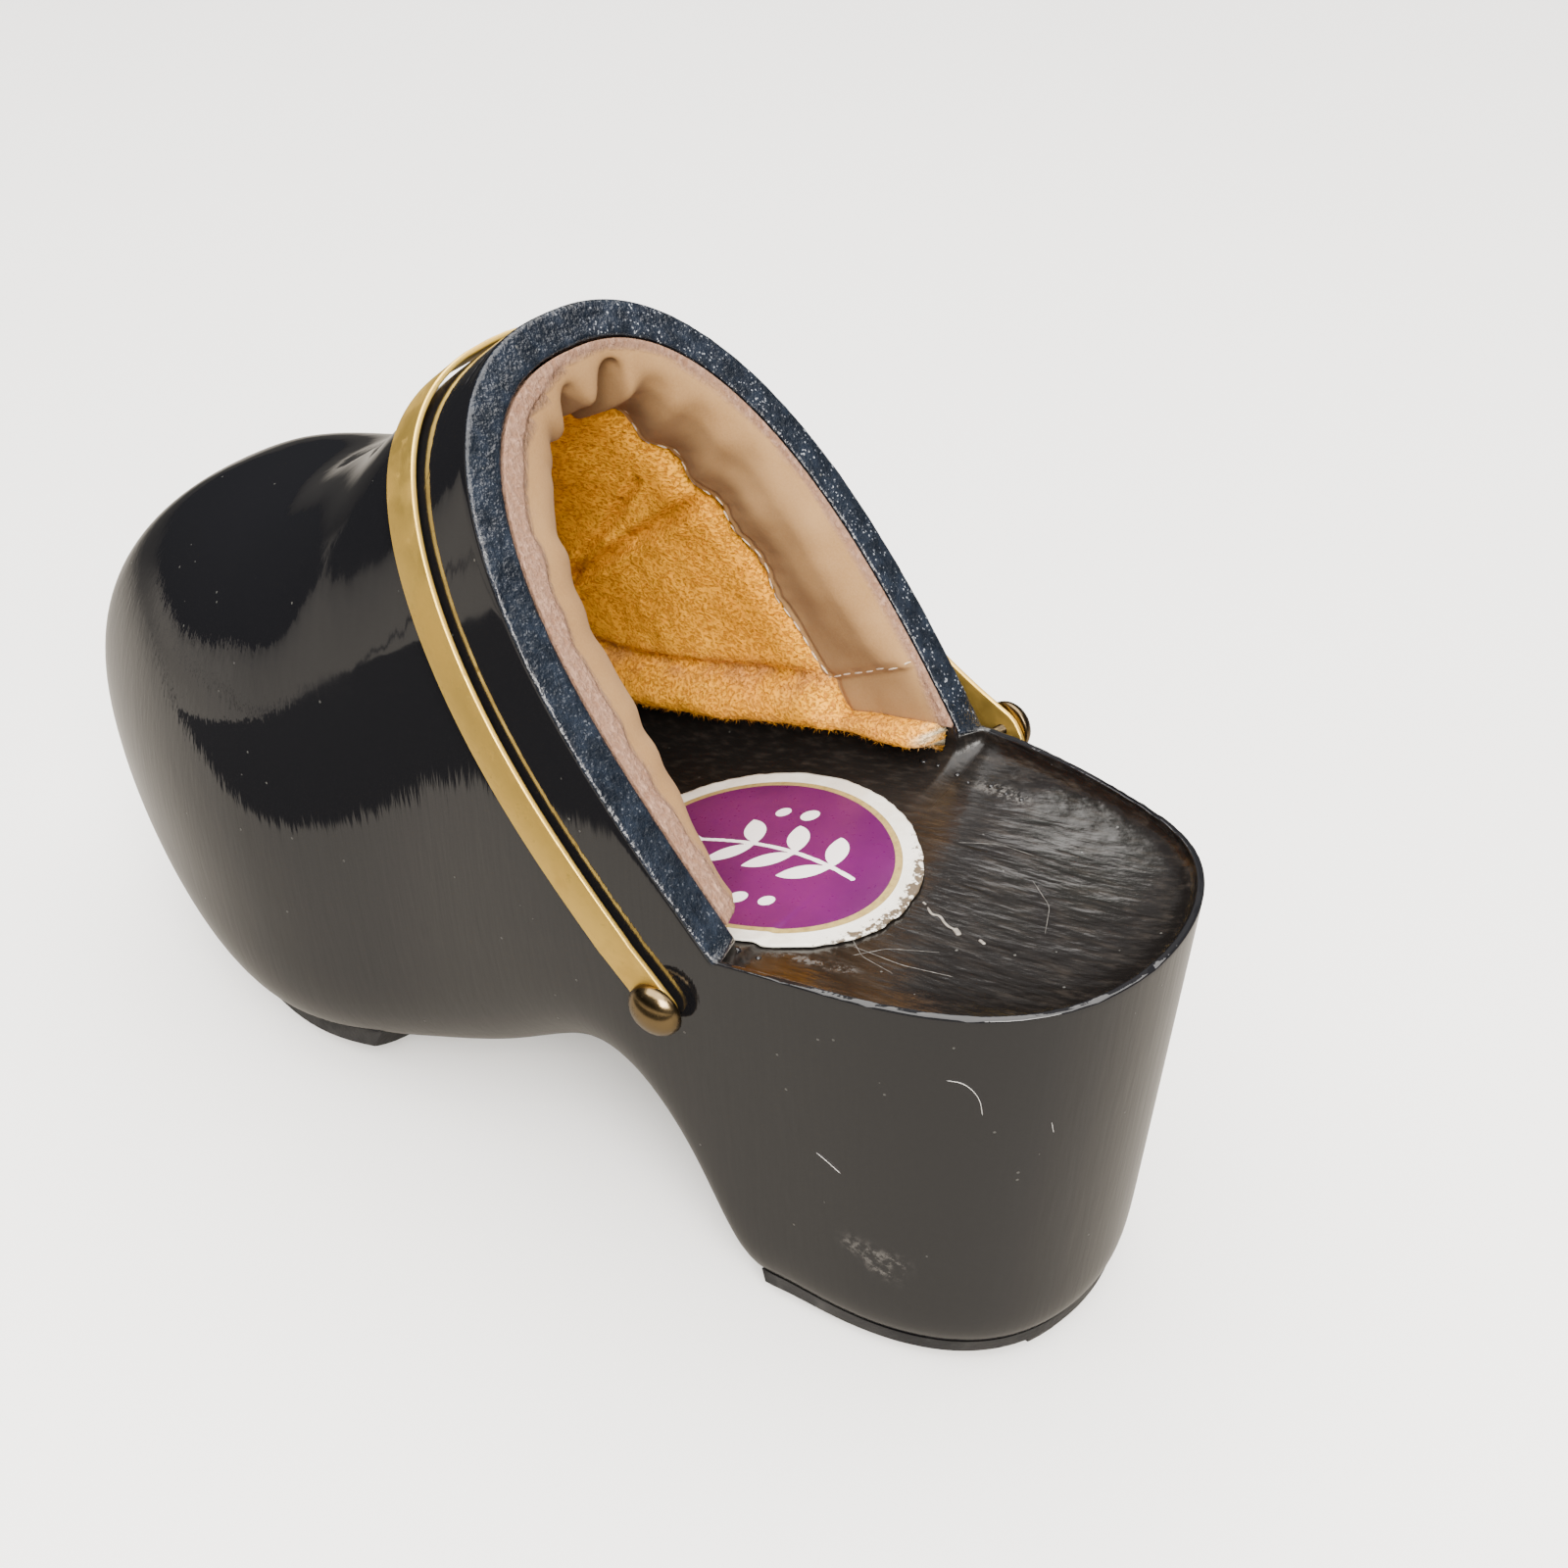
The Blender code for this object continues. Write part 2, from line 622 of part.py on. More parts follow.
def build_stud(name, turn, lift, gap):
    """Dome-headed nail, turned about its own axis, and the hole for its shank."""
    seat = surface(outer, turn, lift)[0] + (gap + BAND_THICK + GAP) * normal(outer, turn, lift)[0]
    facing = Vector(normal(outer, turn, lift)[0])
    arc = np.linspace(np.pi / 2, 0, 6)
    profile = [(STUD_RADIUS * np.cos(a), STUD_RISE * np.sin(a)) for a in arc]
    tip = -(gap + BAND_THICK + GAP + SHANK_DEPTH)
    profile += [(SHANK_RADIUS, 0), (SHANK_RADIUS, tip), (0, tip)]
    mesh = bpy.data.meshes.new(name)
    edges = [(i, i + 1) for i in range(len(profile) - 1)]
    mesh.from_pydata([(r * MM, 0, z * MM) for r, z in profile], edges, [])
    mesh.materials.append(old_brass)
    stud = bpy.data.objects.new(name, mesh)
    parts.objects.link(stud)
    screw = stud.modifiers.new("turned", "SCREW")
    screw.steps = screw.render_steps = STUD_SIDES
    screw.use_merge_vertices = True
    screw.merge_threshold = 0.00001
    stud.location = Vector((seat - ORIGIN) * MM)
    stud.rotation_euler = facing.to_track_quat("Z", "Y").to_euler()
    inner_reach = SHANK_DEPTH + HOLE_CLEARANCE
    outer_reach = gap + BAND_THICK + GAP
    middle = surface(outer, turn, lift)[0] + (outer_reach - inner_reach) / 2 * np.array(facing)
    bpy.ops.mesh.primitive_cylinder_add(
        vertices=STUD_SIDES, radius=(SHANK_RADIUS + HOLE_CLEARANCE) * MM, depth=(inner_reach + outer_reach) * MM,
        location=Vector((middle - ORIGIN) * MM), rotation=stud.rotation_euler)
    hole = as_cutter(bpy.context.object)
    hole.name = f"{name}_hole"
    move_to(hole, cutters)
    return stud, hole


def build_label(shell):
    """Thin oval label pressed onto the seat."""
    bpy.ops.mesh.primitive_circle_add(vertices=LABEL_SIDES, radius=1, fill_type="TRIFAN")
    label = bpy.context.object
    label.name = "heel_label"
    label.data.name = "heel_label"
    move_to(label, parts)
    centre = np.array([*LABEL_CENTRE, cut_height(COLLAR_END, 0.0)]) - ORIGIN
    work = bmesh.new()
    work.from_mesh(label.data)
    spokes = [edge for edge in work.edges if not edge.is_boundary]
    bmesh.ops.subdivide_edges(work, edges=spokes, cuts=2)
    bmesh.ops.triangulate(work, faces=work.faces)
    for vertex in work.verts:
        along, across = vertex.co.x * LABEL_RADII[0], vertex.co.y * LABEL_RADII[1]
        vertex.co.x = (centre[0] + along * np.cos(LABEL_TURN) - across * np.sin(LABEL_TURN)) * MM
        vertex.co.y = (centre[1] + along * np.sin(LABEL_TURN) + across * np.cos(LABEL_TURN)) * MM
        vertex.co.z = centre[2] * MM
    work.to_mesh(label.data)
    work.free()
    label.data.materials.append(print_paper)
    wrap = label.modifiers.new("on_seat", "SHRINKWRAP")
    wrap.target = shell
    wrap.wrap_method = "PROJECT"
    wrap.use_project_z = True
    wrap.use_negative_direction = True
    wrap.use_positive_direction = False
    wrap.offset = GAP * MM
    thicken(label, LABEL_THICK, outwards=True)
    return label


for thing in list(bpy.data.objects):
    bpy.data.objects.remove(thing, do_unlink=True)

parts = bpy.data.collections.new("platform_clog")
cutters = bpy.data.collections.new("cutters")
for group in (parts, cutters):
    bpy.context.scene.collection.children.link(group)

lacquer = principled("black_lacquer", (0.012, 0.012, 0.014), 0.08, 0)
rubber = principled("black_rubber", (0.02, 0.02, 0.02), 0.7, 0)
suede = principled("taupe_suede", (0.42, 0.31, 0.23), 0.9, 0)
fleece = principled("mustard_fleece", (0.62, 0.31, 0.06), 0.95, 0)
brass = principled("tarnished_brass", (0.60, 0.47, 0.22), 0.35, 1)
old_brass = principled("antique_brass", (0.22, 0.16, 0.09), 0.35, 1)
print_paper = principled("printed_label", (0.28, 0.05, 0.22), 0.35, 0)

# The middle of the outline on the ground is the object's origin
lap = np.linspace(0, 2 * np.pi, 721)
ORIGIN = np.array([LENGTH / 2, (plan_y(lap).max() + plan_y(lap).min()) / 2, 0.0])

shell = build_shell()
build_cuff()
build_fleece()
build_heel_sole()
build_fore_sole()
build_label(shell)
band_turns, band_lifts, band_gaps, stud_places = band_path()
band = build_band(band_turns, band_lifts, band_gaps)
for side, (stud_turn, stud_lift, stud_gap) in stud_places.items():
    stud, hole = build_stud(f"stud_{side}", stud_turn, stud_lift, stud_gap)
    cut(shell, hole)
    cut(band, hole)
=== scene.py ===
import bmesh
import bpy
import numpy as np
from mathutils import Matrix, Vector, noise
from mathutils.bvhtree import BVHTree


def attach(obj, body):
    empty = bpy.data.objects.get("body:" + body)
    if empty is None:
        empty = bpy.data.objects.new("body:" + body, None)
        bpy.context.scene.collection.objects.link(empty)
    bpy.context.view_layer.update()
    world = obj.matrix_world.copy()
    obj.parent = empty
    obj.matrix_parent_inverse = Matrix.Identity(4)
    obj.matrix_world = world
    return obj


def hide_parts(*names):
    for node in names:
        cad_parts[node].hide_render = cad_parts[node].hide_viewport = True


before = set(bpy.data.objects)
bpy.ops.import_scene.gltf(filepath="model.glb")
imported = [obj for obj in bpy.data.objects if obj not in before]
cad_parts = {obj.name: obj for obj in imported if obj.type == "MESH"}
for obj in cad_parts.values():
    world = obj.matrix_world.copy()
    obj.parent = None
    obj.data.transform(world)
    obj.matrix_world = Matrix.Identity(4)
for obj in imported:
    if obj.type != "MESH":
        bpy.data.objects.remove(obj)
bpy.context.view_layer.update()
print("frame loaded")

# Lengths are in millimetres from the heel tip, x to the toe, y to the wearer's left, z up.
# Table rows are (x, value), and plan rows are (x, left, right).
last = {
    "length": 250.0,
    "wall": 6.5,
    "rim": 1.2,
    "heelShift": 2.0,
    "toeShift": -3.0,
    "spine": (44.0, 196.0, 10.0, 100.0),
    "toeTilt": -0.2,
    "collarEnd": 59.0,
    "collarSlope": 1.23,
    "endStep": 1.0,
    "plan": [(7, 24, 20), (28, 36.5, 31.5), (60, 40.5, 40), (95, 43, 43.5), (130, 45, 44.5),
             (165, 51, 49), (200, 46.5, 48), (229, 35, 39.5), (244, 23, 27)],
    "bottom": [(0, 4.5), (20, 4.5), (40, 4.5), (50, 4.5), (58, 6.5), (66, 21.5), (76, 34.5), (95, 34.5),
               (115, 21.5), (138, 11.6), (168, 3.3), (192, 3.3), (214, 9.5), (232, 21), (250, 34)],
    "level": [(0, 89), (40, 85), (80, 76.5), (110, 63), (150, 46), (200, 46.5), (250, 50.4)],
    "top": [(60, 223), (90, 189.5), (120, 160.5), (140, 145.5), (152, 134.5), (164, 126.3), (176, 119.8),
            (188, 116), (196, 114.3), (205, 112.3)],
    "lowPower": [(0, 24), (50, 20), (75, 7), (100, 3.6), (150, 3.9), (200, 3), (250, 2.3)],
    "highPower": [(0, 2.5), (120, 2.4), (175, 2.35), (250, 2.1)],
    "taper": [(0, 0.07), (60, 0.06), (110, 0.025), (160, 0), (250, 0)],
    "floor": [(0, 83), (40, 78.5), (60, 75), (80, 69.5), (110, 59), (150, 46.5), (180, 42), (210, 42),
              (250, 50)],
    "innerLevel": [(0, 89), (40, 85), (60, 81.5), (80, 77), (110, 70), (150, 60), (200, 58), (250, 62)],
    "floorPower": [(0, 2.6), (60, 3), (110, 4), (250, 3)],
}
length = last["length"]
collarEnd = last["collarEnd"]
collarSlope = last["collarSlope"]
under = -np.pi / 2
over = np.pi / 2


def spline(rows):
    xs, ys = np.asarray(rows, float).T
    step = np.diff(xs)
    count = len(xs)
    matrix = np.eye(count)
    right = np.zeros(count)
    for i in range(1, count - 1):
        matrix[i, i - 1:i + 2] = step[i - 1], 2 * (step[i - 1] + step[i]), step[i]
        right[i] = 6 * ((ys[i + 1] - ys[i]) / step[i] - (ys[i] - ys[i - 1]) / step[i - 1])
    bend = np.linalg.solve(matrix, right)

    def value(x):
        x = np.clip(x, xs[0], xs[-1])
        k = np.clip(np.searchsorted(xs, x) - 1, 0, count - 2)
        a = (xs[k + 1] - x) / step[k]
        b = 1 - a
        return a * ys[k] + b * ys[k + 1] + ((a**3 - a) * bend[k] + (b**3 - b) * bend[k + 1]) * step[k]**2 / 6

    return value


def turnAt(x):
    return np.arccos(1 - 2 * np.asarray(x, float) / length)


def stationAt(turn):
    return length * (1 - np.cos(turn)) / 2


def blend(a, b, share):
    return a + (b - a) * share


def hump(off, wide):
    return np.exp(-(off / wide)**2)


def unit(vectors):
    return vectors / np.linalg.norm(vectors, axis=-1, keepdims=True)


def runOf(points):
    return np.concatenate([[0], np.cumsum(np.linalg.norm(np.diff(points, axis=0), axis=1))])


def evenly(points, run, spots):
    return np.stack([np.interp(spots, run, points[:, i]) for i in range(3)], -1)


def edgeRound(distance, radius):
    share = np.clip(distance / radius, 0, 1)
    return np.sqrt(np.clip(1 - (1 - share)**2, 0, 1))


def smoothStep(value, low, high):
    share = np.clip((value - low) / (high - low), 0, 1)
    return share * share * (3 - 2 * share)


def resampled(points, count):
    run = runOf(points)
    return evenly(points, run, np.linspace(0, run[-1], count))


def closedPlan():
    xs, left, right = np.asarray(last["plan"], float).T
    stations = turnAt(xs)
    angles = np.concatenate([[0], stations, [np.pi], 2 * np.pi - stations[::-1]])
    places = np.concatenate([[last["heelShift"]], left, [last["toeShift"]], -right[::-1]])
    laps = np.concatenate([angles - 2 * np.pi, angles, angles + 2 * np.pi])
    return spline(np.stack([laps, np.tile(places, 3)], 1))


planY = closedPlan()
lap = planY(np.linspace(0, 2 * np.pi, 721))
origin = np.array([length / 2, (lap.max() + lap.min()) / 2, 0.0])
topLine = spline(last["top"])
levelLine = spline(last["level"])
floorLine = spline(last["floor"])


def placed(points):
    return (np.asarray(points, float) - origin) * 0.001


def outline(turn, inset):
    x = stationAt(turn)
    alongX = length * np.sin(turn) / 2
    alongY = (planY(turn + 1e-4) - planY(turn - 1e-4)) / 2e-4
    size = np.hypot(alongX, alongY)
    return x + inset * alongY / size, planY(turn) - inset * alongX / size


def spineAt(x):
    start, end, ease, bendStart = last["spine"]
    centre = start + ease * (np.logaddexp(0, (x - start) / ease) - np.logaddexp(0, (x - end) / ease))
    return centre, last["toeShift"] * np.clip((centre - bendStart) / (end - bendStart), 0, 1)**2


def insideForm(extra):
    def inset(x):
        share = np.clip((x - collarEnd + last["endStep"]) / last["endStep"], 0, 1)
        return last["rim"] + (last["wall"] - last["rim"]) * share + extra

    def top(x):
        slope = topLine(x + 0.5) - topLine(x - 0.5)
        return topLine(x) - (last["wall"] + extra) * np.hypot(1, slope)

    return {"inset": inset, "bottom": lambda x: floorLine(x) + extra, "level": spline(last["innerLevel"]),
            "top": top, "low": spline(last["floorPower"]), "high": spline(last["highPower"]),
            "taper": np.zeros_like}


outer = {"inset": np.zeros_like, "bottom": spline(last["bottom"]), "level": levelLine, "top": topLine,
         "low": spline(last["lowPower"]), "high": spline(last["highPower"]), "taper": spline(last["taper"])}
inner = insideForm(0.0)
softBase = insideForm(0.35)


# A point of a form: turn goes round the outline, lift from under the foot to the ridge.
def surface(form, turn, lift):
    turn, lift = np.broadcast_arrays(turn, lift)
    outerX = stationAt(turn)
    edgeX, edgeY = outline(turn, form["inset"](outerX))
    centreX, centreY = spineAt(outerX)
    low = lift < 0
    power = np.where(low, form["low"](edgeX), form["high"](edgeX))
    across = np.abs(np.cos(lift))
    rise = np.abs(np.sin(lift))
    size = (across**power + rise**power)**(-1 / power)
    reach = across * size
    rise = rise * size
    drawn = reach * np.where(low, 1 - form["taper"](edgeX) * rise, 1)
    level = form["level"](edgeX)
    below = level - rise * (level - form["bottom"](centreX + reach * (edgeX - centreX)))
    x = centreX + drawn * (edgeX - centreX)
    above = blend(level, form["top"](centreX), rise) + last["toeTilt"] * rise**2 * np.maximum(x - centreX, 0)
    return np.stack([x, centreY + drawn * (edgeY - centreY), np.where(low, below, above)], -1)


def facing(form, turn, lift):
    lift = np.maximum(lift, under + 0.01)
    along = surface(form, turn + 1e-3, lift) - surface(form, turn - 1e-3, lift)
    upward = surface(form, turn, lift + 1e-3) - surface(form, turn, lift - 1e-3)
    square = np.cross(upward, along)
    return square / np.maximum(np.linalg.norm(square, axis=-1, keepdims=True), 1e-12)


def cutHeight(x, ahead):
    return levelLine(collarEnd) + collarSlope * (x - collarEnd) - ahead * np.hypot(1, collarSlope)


def bisect(low, high, isBefore, rounds=50):
    for _ in range(rounds):
        middle = (low + high) / 2
        before = isBefore(middle)
        low = np.where(before, middle, low)
        high = np.where(before, high, middle)
    return high


def crossing(form, turns, height, lowest):
    def isBelow(lift):
        place = surface(form, turns, lift)
        return place[..., 2] <= height(place[..., 0])

    return bisect(np.full_like(turns, lowest), np.full_like(turns, over), isBelow, 40)


def peakTurn(form, ahead):
    x = bisect(collarEnd, last["spine"][1], lambda v: form["top"](v) > cutHeight(v, ahead))
    return bisect(0.0, np.pi, lambda t: spineAt(stationAt(t))[0] < x)


def bothSides(turns):
    return np.concatenate([turns, 2 * np.pi - turns[-2:0:-1]])


# Faces of a grid: closed joins its last column to the first, ringed its last row.
def gridFaces(columns, rows, closed=False, ringed=False):
    faces = []
    for k in range(columns if closed else columns - 1):
        n = (k + 1) % columns
        for j in range(rows if ringed else rows - 1):
            m = (j + 1) % rows
            faces.append((k * rows + j, k * rows + m, n * rows + m, n * rows + j))
    return faces


def linked(name, data):
    thing = bpy.data.objects.new(name, data)
    bpy.context.scene.collection.objects.link(thing)
    return thing


# A mesh piece from one or more grids of points, whose shared edges are joined.
def meshPiece(name, points, faces, material, marks=None, merge=0.02):
    mesh = bpy.data.meshes.new(name)
    mesh.from_pydata(placed(points).tolist(), [], faces)
    for mark, values in (marks or {}).items():
        mesh.attributes.new(mark, "FLOAT", "POINT").data.foreach_set("value", np.asarray(values, np.float32))
    work = bmesh.new()
    work.from_mesh(mesh)
    bmesh.ops.remove_doubles(work, verts=work.verts, dist=merge * 0.001)
    bmesh.ops.dissolve_degenerate(work, edges=work.edges, dist=0.002 * 0.001)
    work.to_mesh(mesh)
    work.free()
    mesh.shade_smooth()
    mesh.materials.append(material)
    return linked(name, mesh)


def gridPiece(name, grid, material, marks=None, merge=0.02, closed=False, turned=False):
    faces = gridFaces(*grid.shape[:2], closed)
    faces = [face[::-1] for face in faces] if turned else faces
    return meshPiece(name, grid.reshape(-1, 3), faces, material, marks, merge)


def joined(grids):
    points = []
    faces = []
    start = 0
    for grid, closed in grids:
        columns, rows = grid.shape[:2]
        faces += [tuple(i + start for i in face) for face in gridFaces(columns, rows, closed)]
        points.append(grid.reshape(-1, 3))
        start += columns * rows
    return np.concatenate(points), faces


def wobble(points, scale, seed):
    return np.array([noise.noise(Vector(p) / scale + Vector((seed, seed, seed))) for p in points.reshape(-1, 3)]
                    ).reshape(points.shape[:-1])


# Random lumps: rows are (height, size, seed).
def lumps(points, rows):
    return sum(high * wobble(points, size, seed) for high, size, seed in rows)


# Camera as it stood to the shoe, for a square picture 1600 pixels wide
camera = {"azimuth": 217.12, "elevation": 36.52, "roll": -0.66, "focalPixels": 1697.4,
          "eye": (-64.72, 184.79, 256.68)}


def addCamera():
    a, e, r = np.radians([camera["azimuth"], camera["elevation"], camera["roll"]])
    back = np.array([np.sin(a) * np.cos(e), -np.cos(a) * np.cos(e), np.sin(e)])
    right = np.array([np.cos(a), np.sin(a), 0.0])
    up = np.cross(back, right)
    sideways = np.cos(r) * right + np.sin(r) * up
    upright = np.cos(r) * up - np.sin(r) * right
    data = bpy.data.cameras.new("photoCamera")
    data.sensor_width = 36.0
    data.lens = 36.0 * camera["focalPixels"] / 1600
    data.clip_start = 0.01
    thing = linked("photoCamera", data)
    turn = Matrix((sideways, upright, back)).transposed().to_4x4()
    thing.matrix_world = Matrix.Translation(placed(camera["eye"])) @ turn
    bpy.context.scene.camera = thing


addCamera()
print("camera set")


# Node trees: a value can be reckoned with, and each step adds a node.
class Value:
    def __init__(self, tree, socket):
        self.tree = tree
        self.socket = socket

    def __rsub__(self, other):
        return self.tree.get("ShaderNodeMath", {0: other, 1: self}, operation="SUBTRACT")

    def ramp(self, low, high):
        return self.tree.get("ShaderNodeMapRange", {"Value": self, "From Min": low, "From Max": high},
                             interpolation_type="SMOOTHSTEP")

    def mix(self, a, b):
        return self.tree.get("ShaderNodeMix", {0: self, 6: a, 7: b}, 2, data_type="RGBA")

    def noise(self, scale, detail=3.0, rough=0.55):
        return self.tree.get("ShaderNodeTexNoise", {"Vector": self, "Scale": scale, "Detail": detail,
                                                    "Roughness": rough})

    def stretch(self, *sizes):
        return self.tree.get("ShaderNodeVectorMath", {0: self, 1: sizes}, operation="MULTIPLY")

    def axis(self, index):
        return self.tree.get("ShaderNodeSeparateXYZ", {0: self}, index)

    def cells(self, scale):
        return self.tree.add("ShaderNodeTexVoronoi", {"Vector": self, "Scale": scale}).outputs


def operator(operation):
    return lambda self, other: self.tree.get("ShaderNodeMath", {0: self, 1: other}, operation=operation)


for method, operation in (("__add__", "ADD"), ("__mul__", "MULTIPLY"), ("__gt__", "GREATER_THAN"),
                          ("__lt__", "LESS_THAN"), ("__or__", "MAXIMUM")):
    setattr(Value, method, operator(operation))


class Tree:
    def __init__(self, tree):
        self.tree = tree

    def put(self, socket, value):
        value = getattr(value, "socket", value)
        if isinstance(value, bpy.types.NodeSocket):
            self.tree.links.new(value, socket)
        else:
            socket.default_value = (*value, 1.0) if socket.type == "RGBA" else value

    def add(self, kind, inputs=None, **settings):
        node = self.tree.nodes.new(kind)
        for name, value in settings.items():
            setattr(node, name, value)
        for name, value in (inputs or {}).items():
            self.put(node.inputs[name], value)
        return node

    def get(self, kind, inputs=None, output=0, **settings):
        return Value(self, self.add(kind, inputs, **settings).outputs[output])

    def feed(self, node, **inputs):
        for name, value in inputs.items():
            self.put(node.inputs[name.replace("_", " ")], value)

    def bumps(self, *rows):
        normal = {}
        for height, strength, distance in rows:
            inputs = {"Height": height, "Strength": strength, "Distance": distance}
            normal = {"Normal": self.get("ShaderNodeBump", {**inputs, **normal})}
        return normal["Normal"]

    def lot(self, spot):
        return self.get("ShaderNodeTexWhiteNoise", {"Vector": spot})

    def mark(self, name):
        return self.get("ShaderNodeAttribute", output="Fac", attribute_name=name)

    def place(self):
        return self.get("ShaderNodeTexCoord", output="Object")

    def seen(self):
        return self.get("ShaderNodeLightPath", output="Is Camera Ray")


# A painter takes a tree and the object's coordinates, and gives what feeds the shader.
def newMaterial(name, painter, **constants):
    material = bpy.data.materials.new(name)
    material.use_nodes = True
    tree = Tree(material.node_tree)
    tree.feed(material.node_tree.nodes["Principled BSDF"], **constants, **painter(tree, tree.place()))
    return material


def newTree(kind, name, inputs, outputs):
    group = bpy.data.node_groups.new(name, kind)
    for side, sockets in (("INPUT", inputs), ("OUTPUT", outputs)):
        for socket, form in sockets.items():
            group.interface.new_socket(socket, in_out=side, socket_type="NodeSocket" + form)
    tree = Tree(group)
    return tree, tree.add("NodeGroupInput").outputs, tree.add("NodeGroupOutput")


# Dust: fine specks and a patchy film, shared by the hard surfaces
def dustGroup():
    tree, given, result = newTree("ShaderNodeTree", "dust", {"Vector": "Vector", "Amount": "Float"},
                                  {"Specks": "Float", "Film": "Float"})
    place, amount = Value(tree, given["Vector"]), Value(tree, given["Amount"])
    cells = place.cells(420.0)
    specks = Value(tree, cells["Distance"]) < (tree.lot(cells["Position"]) > 0.90) * 0.10
    tree.feed(result, Specks=specks * amount, Film=place.noise(38.0, 5.0).ramp(0.42, 0.72) * amount)
    return tree.tree


dust = dustGroup()


def dusted(tree, place):
    node = tree.add("ShaderNodeGroup", {"Vector": place, "Amount": 1.0}, node_tree=dust)
    return Value(tree, node.outputs["Specks"]), Value(tree, node.outputs["Film"])


def lacquerPaint(tree, place):
    x, y, z = (place.axis(i) for i in range(3))
    cut, seat, scrape = (tree.mark(name) for name in ("cutFace", "seatTop", "scraped"))
    specks, film = dusted(tree, place)
    clouds = place.noise(260.0, 5.0, 0.65).ramp(0.35, 0.72)
    lots = tree.lot(place.cells(3600.0)["Position"])
    strokes = place.stretch(0.10, 1.0, 1.0).noise(800.0, 5.0, 0.6)
    # Painted glints: pale flecks on the cut face, more of them on its right side, where the light catches the
    # face.
    right = 1.0 - y.ramp(-0.018, 0.014)
    paintedGlints = (lots > 0.965) * (cut * (clouds * (right + 0.25)))
    chalk = scrape * place.noise(620.0, 6.0, 0.7).ramp(0.46, 0.62)
    body = cut.mix((0.006, 0.006, 0.007), clouds.mix((0.004, 0.006, 0.010), (0.012, 0.017, 0.027)))
    body = paintedGlints.mix(body, (0.30, 0.32, 0.35))
    body = seat.mix(body, strokes.ramp(0.45, 0.8).mix((0.006, 0.005, 0.0045), (0.022, 0.018, 0.015)))
    body = chalk.mix(body, (0.09, 0.084, 0.078))
    body = (specks * 0.5).mix(body, (0.11, 0.11, 0.10))
    # Painted shade: the front of the seat, under the fleece roll, is rougher and far less reflective, so it
    # reads dark.
    shadedSeatFront = seat * x.ramp(-0.078, -0.052)
    rough = film * 0.05 + 0.03 + seat * 0.09 + cut * 0.17 + shadedSeatFront * 0.45 + specks * 0.3 + chalk * 0.45
    grain = place.stretch(1.0, 1.0, 0.10).noise(800.0, 2.0)
    swell = place.stretch(1.0, 1.0, 0.35).noise(120.0, 2.0)
    brushed = place.stretch(0.3, 1.0, 1.0).noise(150.0)
    pits = place.noise(1100.0, 2.0) + lots * 0.35
    polish = 1.0 - (cut | seat)
    upright = polish * (1.0 - z.ramp(0.090, 0.108) * 0.85)
    side = tree.bumps((grain * upright, 0.16, 0.0003), (swell * polish, 0.08, 0.0010), (pits * cut, 0.6, 0.0005),
                      (strokes * seat, 0.30, 0.0004), (brushed * seat, 0.4, 0.0014))
    return {"Base_Color": body, "Roughness": rough, "Specular_IOR_Level": 0.5 - shadedSeatFront * 0.38, "Normal": side}


lacquer = newMaterial("black_lacquer", lacquerPaint)


def rideOn(piece, slot, *nodes):
    if nodes:
        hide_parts(*nodes)
    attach(piece, "root")


# Shell: the carved body, rounded where it was cut and chipped along the seat's rim.
# Scrape rows are (start, end, half width).
shell = {"heelColumns": 64, "collarColumns": 90, "toeColumns": 84, "crowding": 1.6, "underRows": 14,
         "edgeRows": 16, "sideRows": 56, "innerRows": 64, "cornerRows": 6, "cutRows": 9,
         "edgeStart": -0.88, "edgeEnd": -0.68, "corner": 0.9, "rimCorner": 0.4,
         "poleReach": 0.004, "poleMerge": 0.0005, "seatRise": 9.0, "rimDrops": (-0.005, -0.03),
         "chips": [(1.0, 1.6, 0.0), (0.7, 0.7, 5.0)], "chipFrom": 0.1, "chipDepth": 0.55,
         "innerChips": [(1.0, 2.1, 9.0)], "innerChipDepth": 0.4,
         "cutLumps": [(0.16, 2.4, 3.0), (0.10, 1.0, 7.0)],
         "scrapes": [((51.8, -28.2, 78.6), (42.5, -27.2, 79.2), 1.3),
                     ((55.4, 28.4, 78.2), (42.0, 26.9, 78.8), 1.0),
                     ((34.6, 35.9, 27.9), (26.9, 34.1, 26.7), 1.8),
                     ((31.0, 35.0, 24.5), (28.0, 34.2, 23.0), 1.4)]}


def leftTurns(form, ahead):
    heel = np.linspace(0, turnAt(collarEnd - last["endStep"]), shell["heelColumns"])
    peak = peakTurn(form, ahead)
    closing = (1 - np.linspace(0, 1, shell["collarColumns"]))**shell["crowding"]
    collar = peak - (peak - turnAt(collarEnd)) * closing
    toe = np.linspace(peak, np.pi, shell["toeColumns"] + 1)[1:]
    return np.concatenate([heel, collar, toe])


def topLifts(form, turns, ahead, drop):
    x = stationAt(turns)
    lifts = crossing(form, turns, lambda v: cutHeight(v, ahead), -0.2)
    lifts = np.where(x < collarEnd - last["endStep"] / 2, drop, lifts)
    middle = spineAt(x)[0]
    whole = form["top"](middle) <= cutHeight(middle, ahead) + 1e-6
    return np.where(whole & (x > collarEnd), over, lifts)


def edgeRun(form, ahead, drop):
    turns = bothSides(leftTurns(form, ahead))
    return surface(form, turns, topLifts(form, turns, ahead, drop))


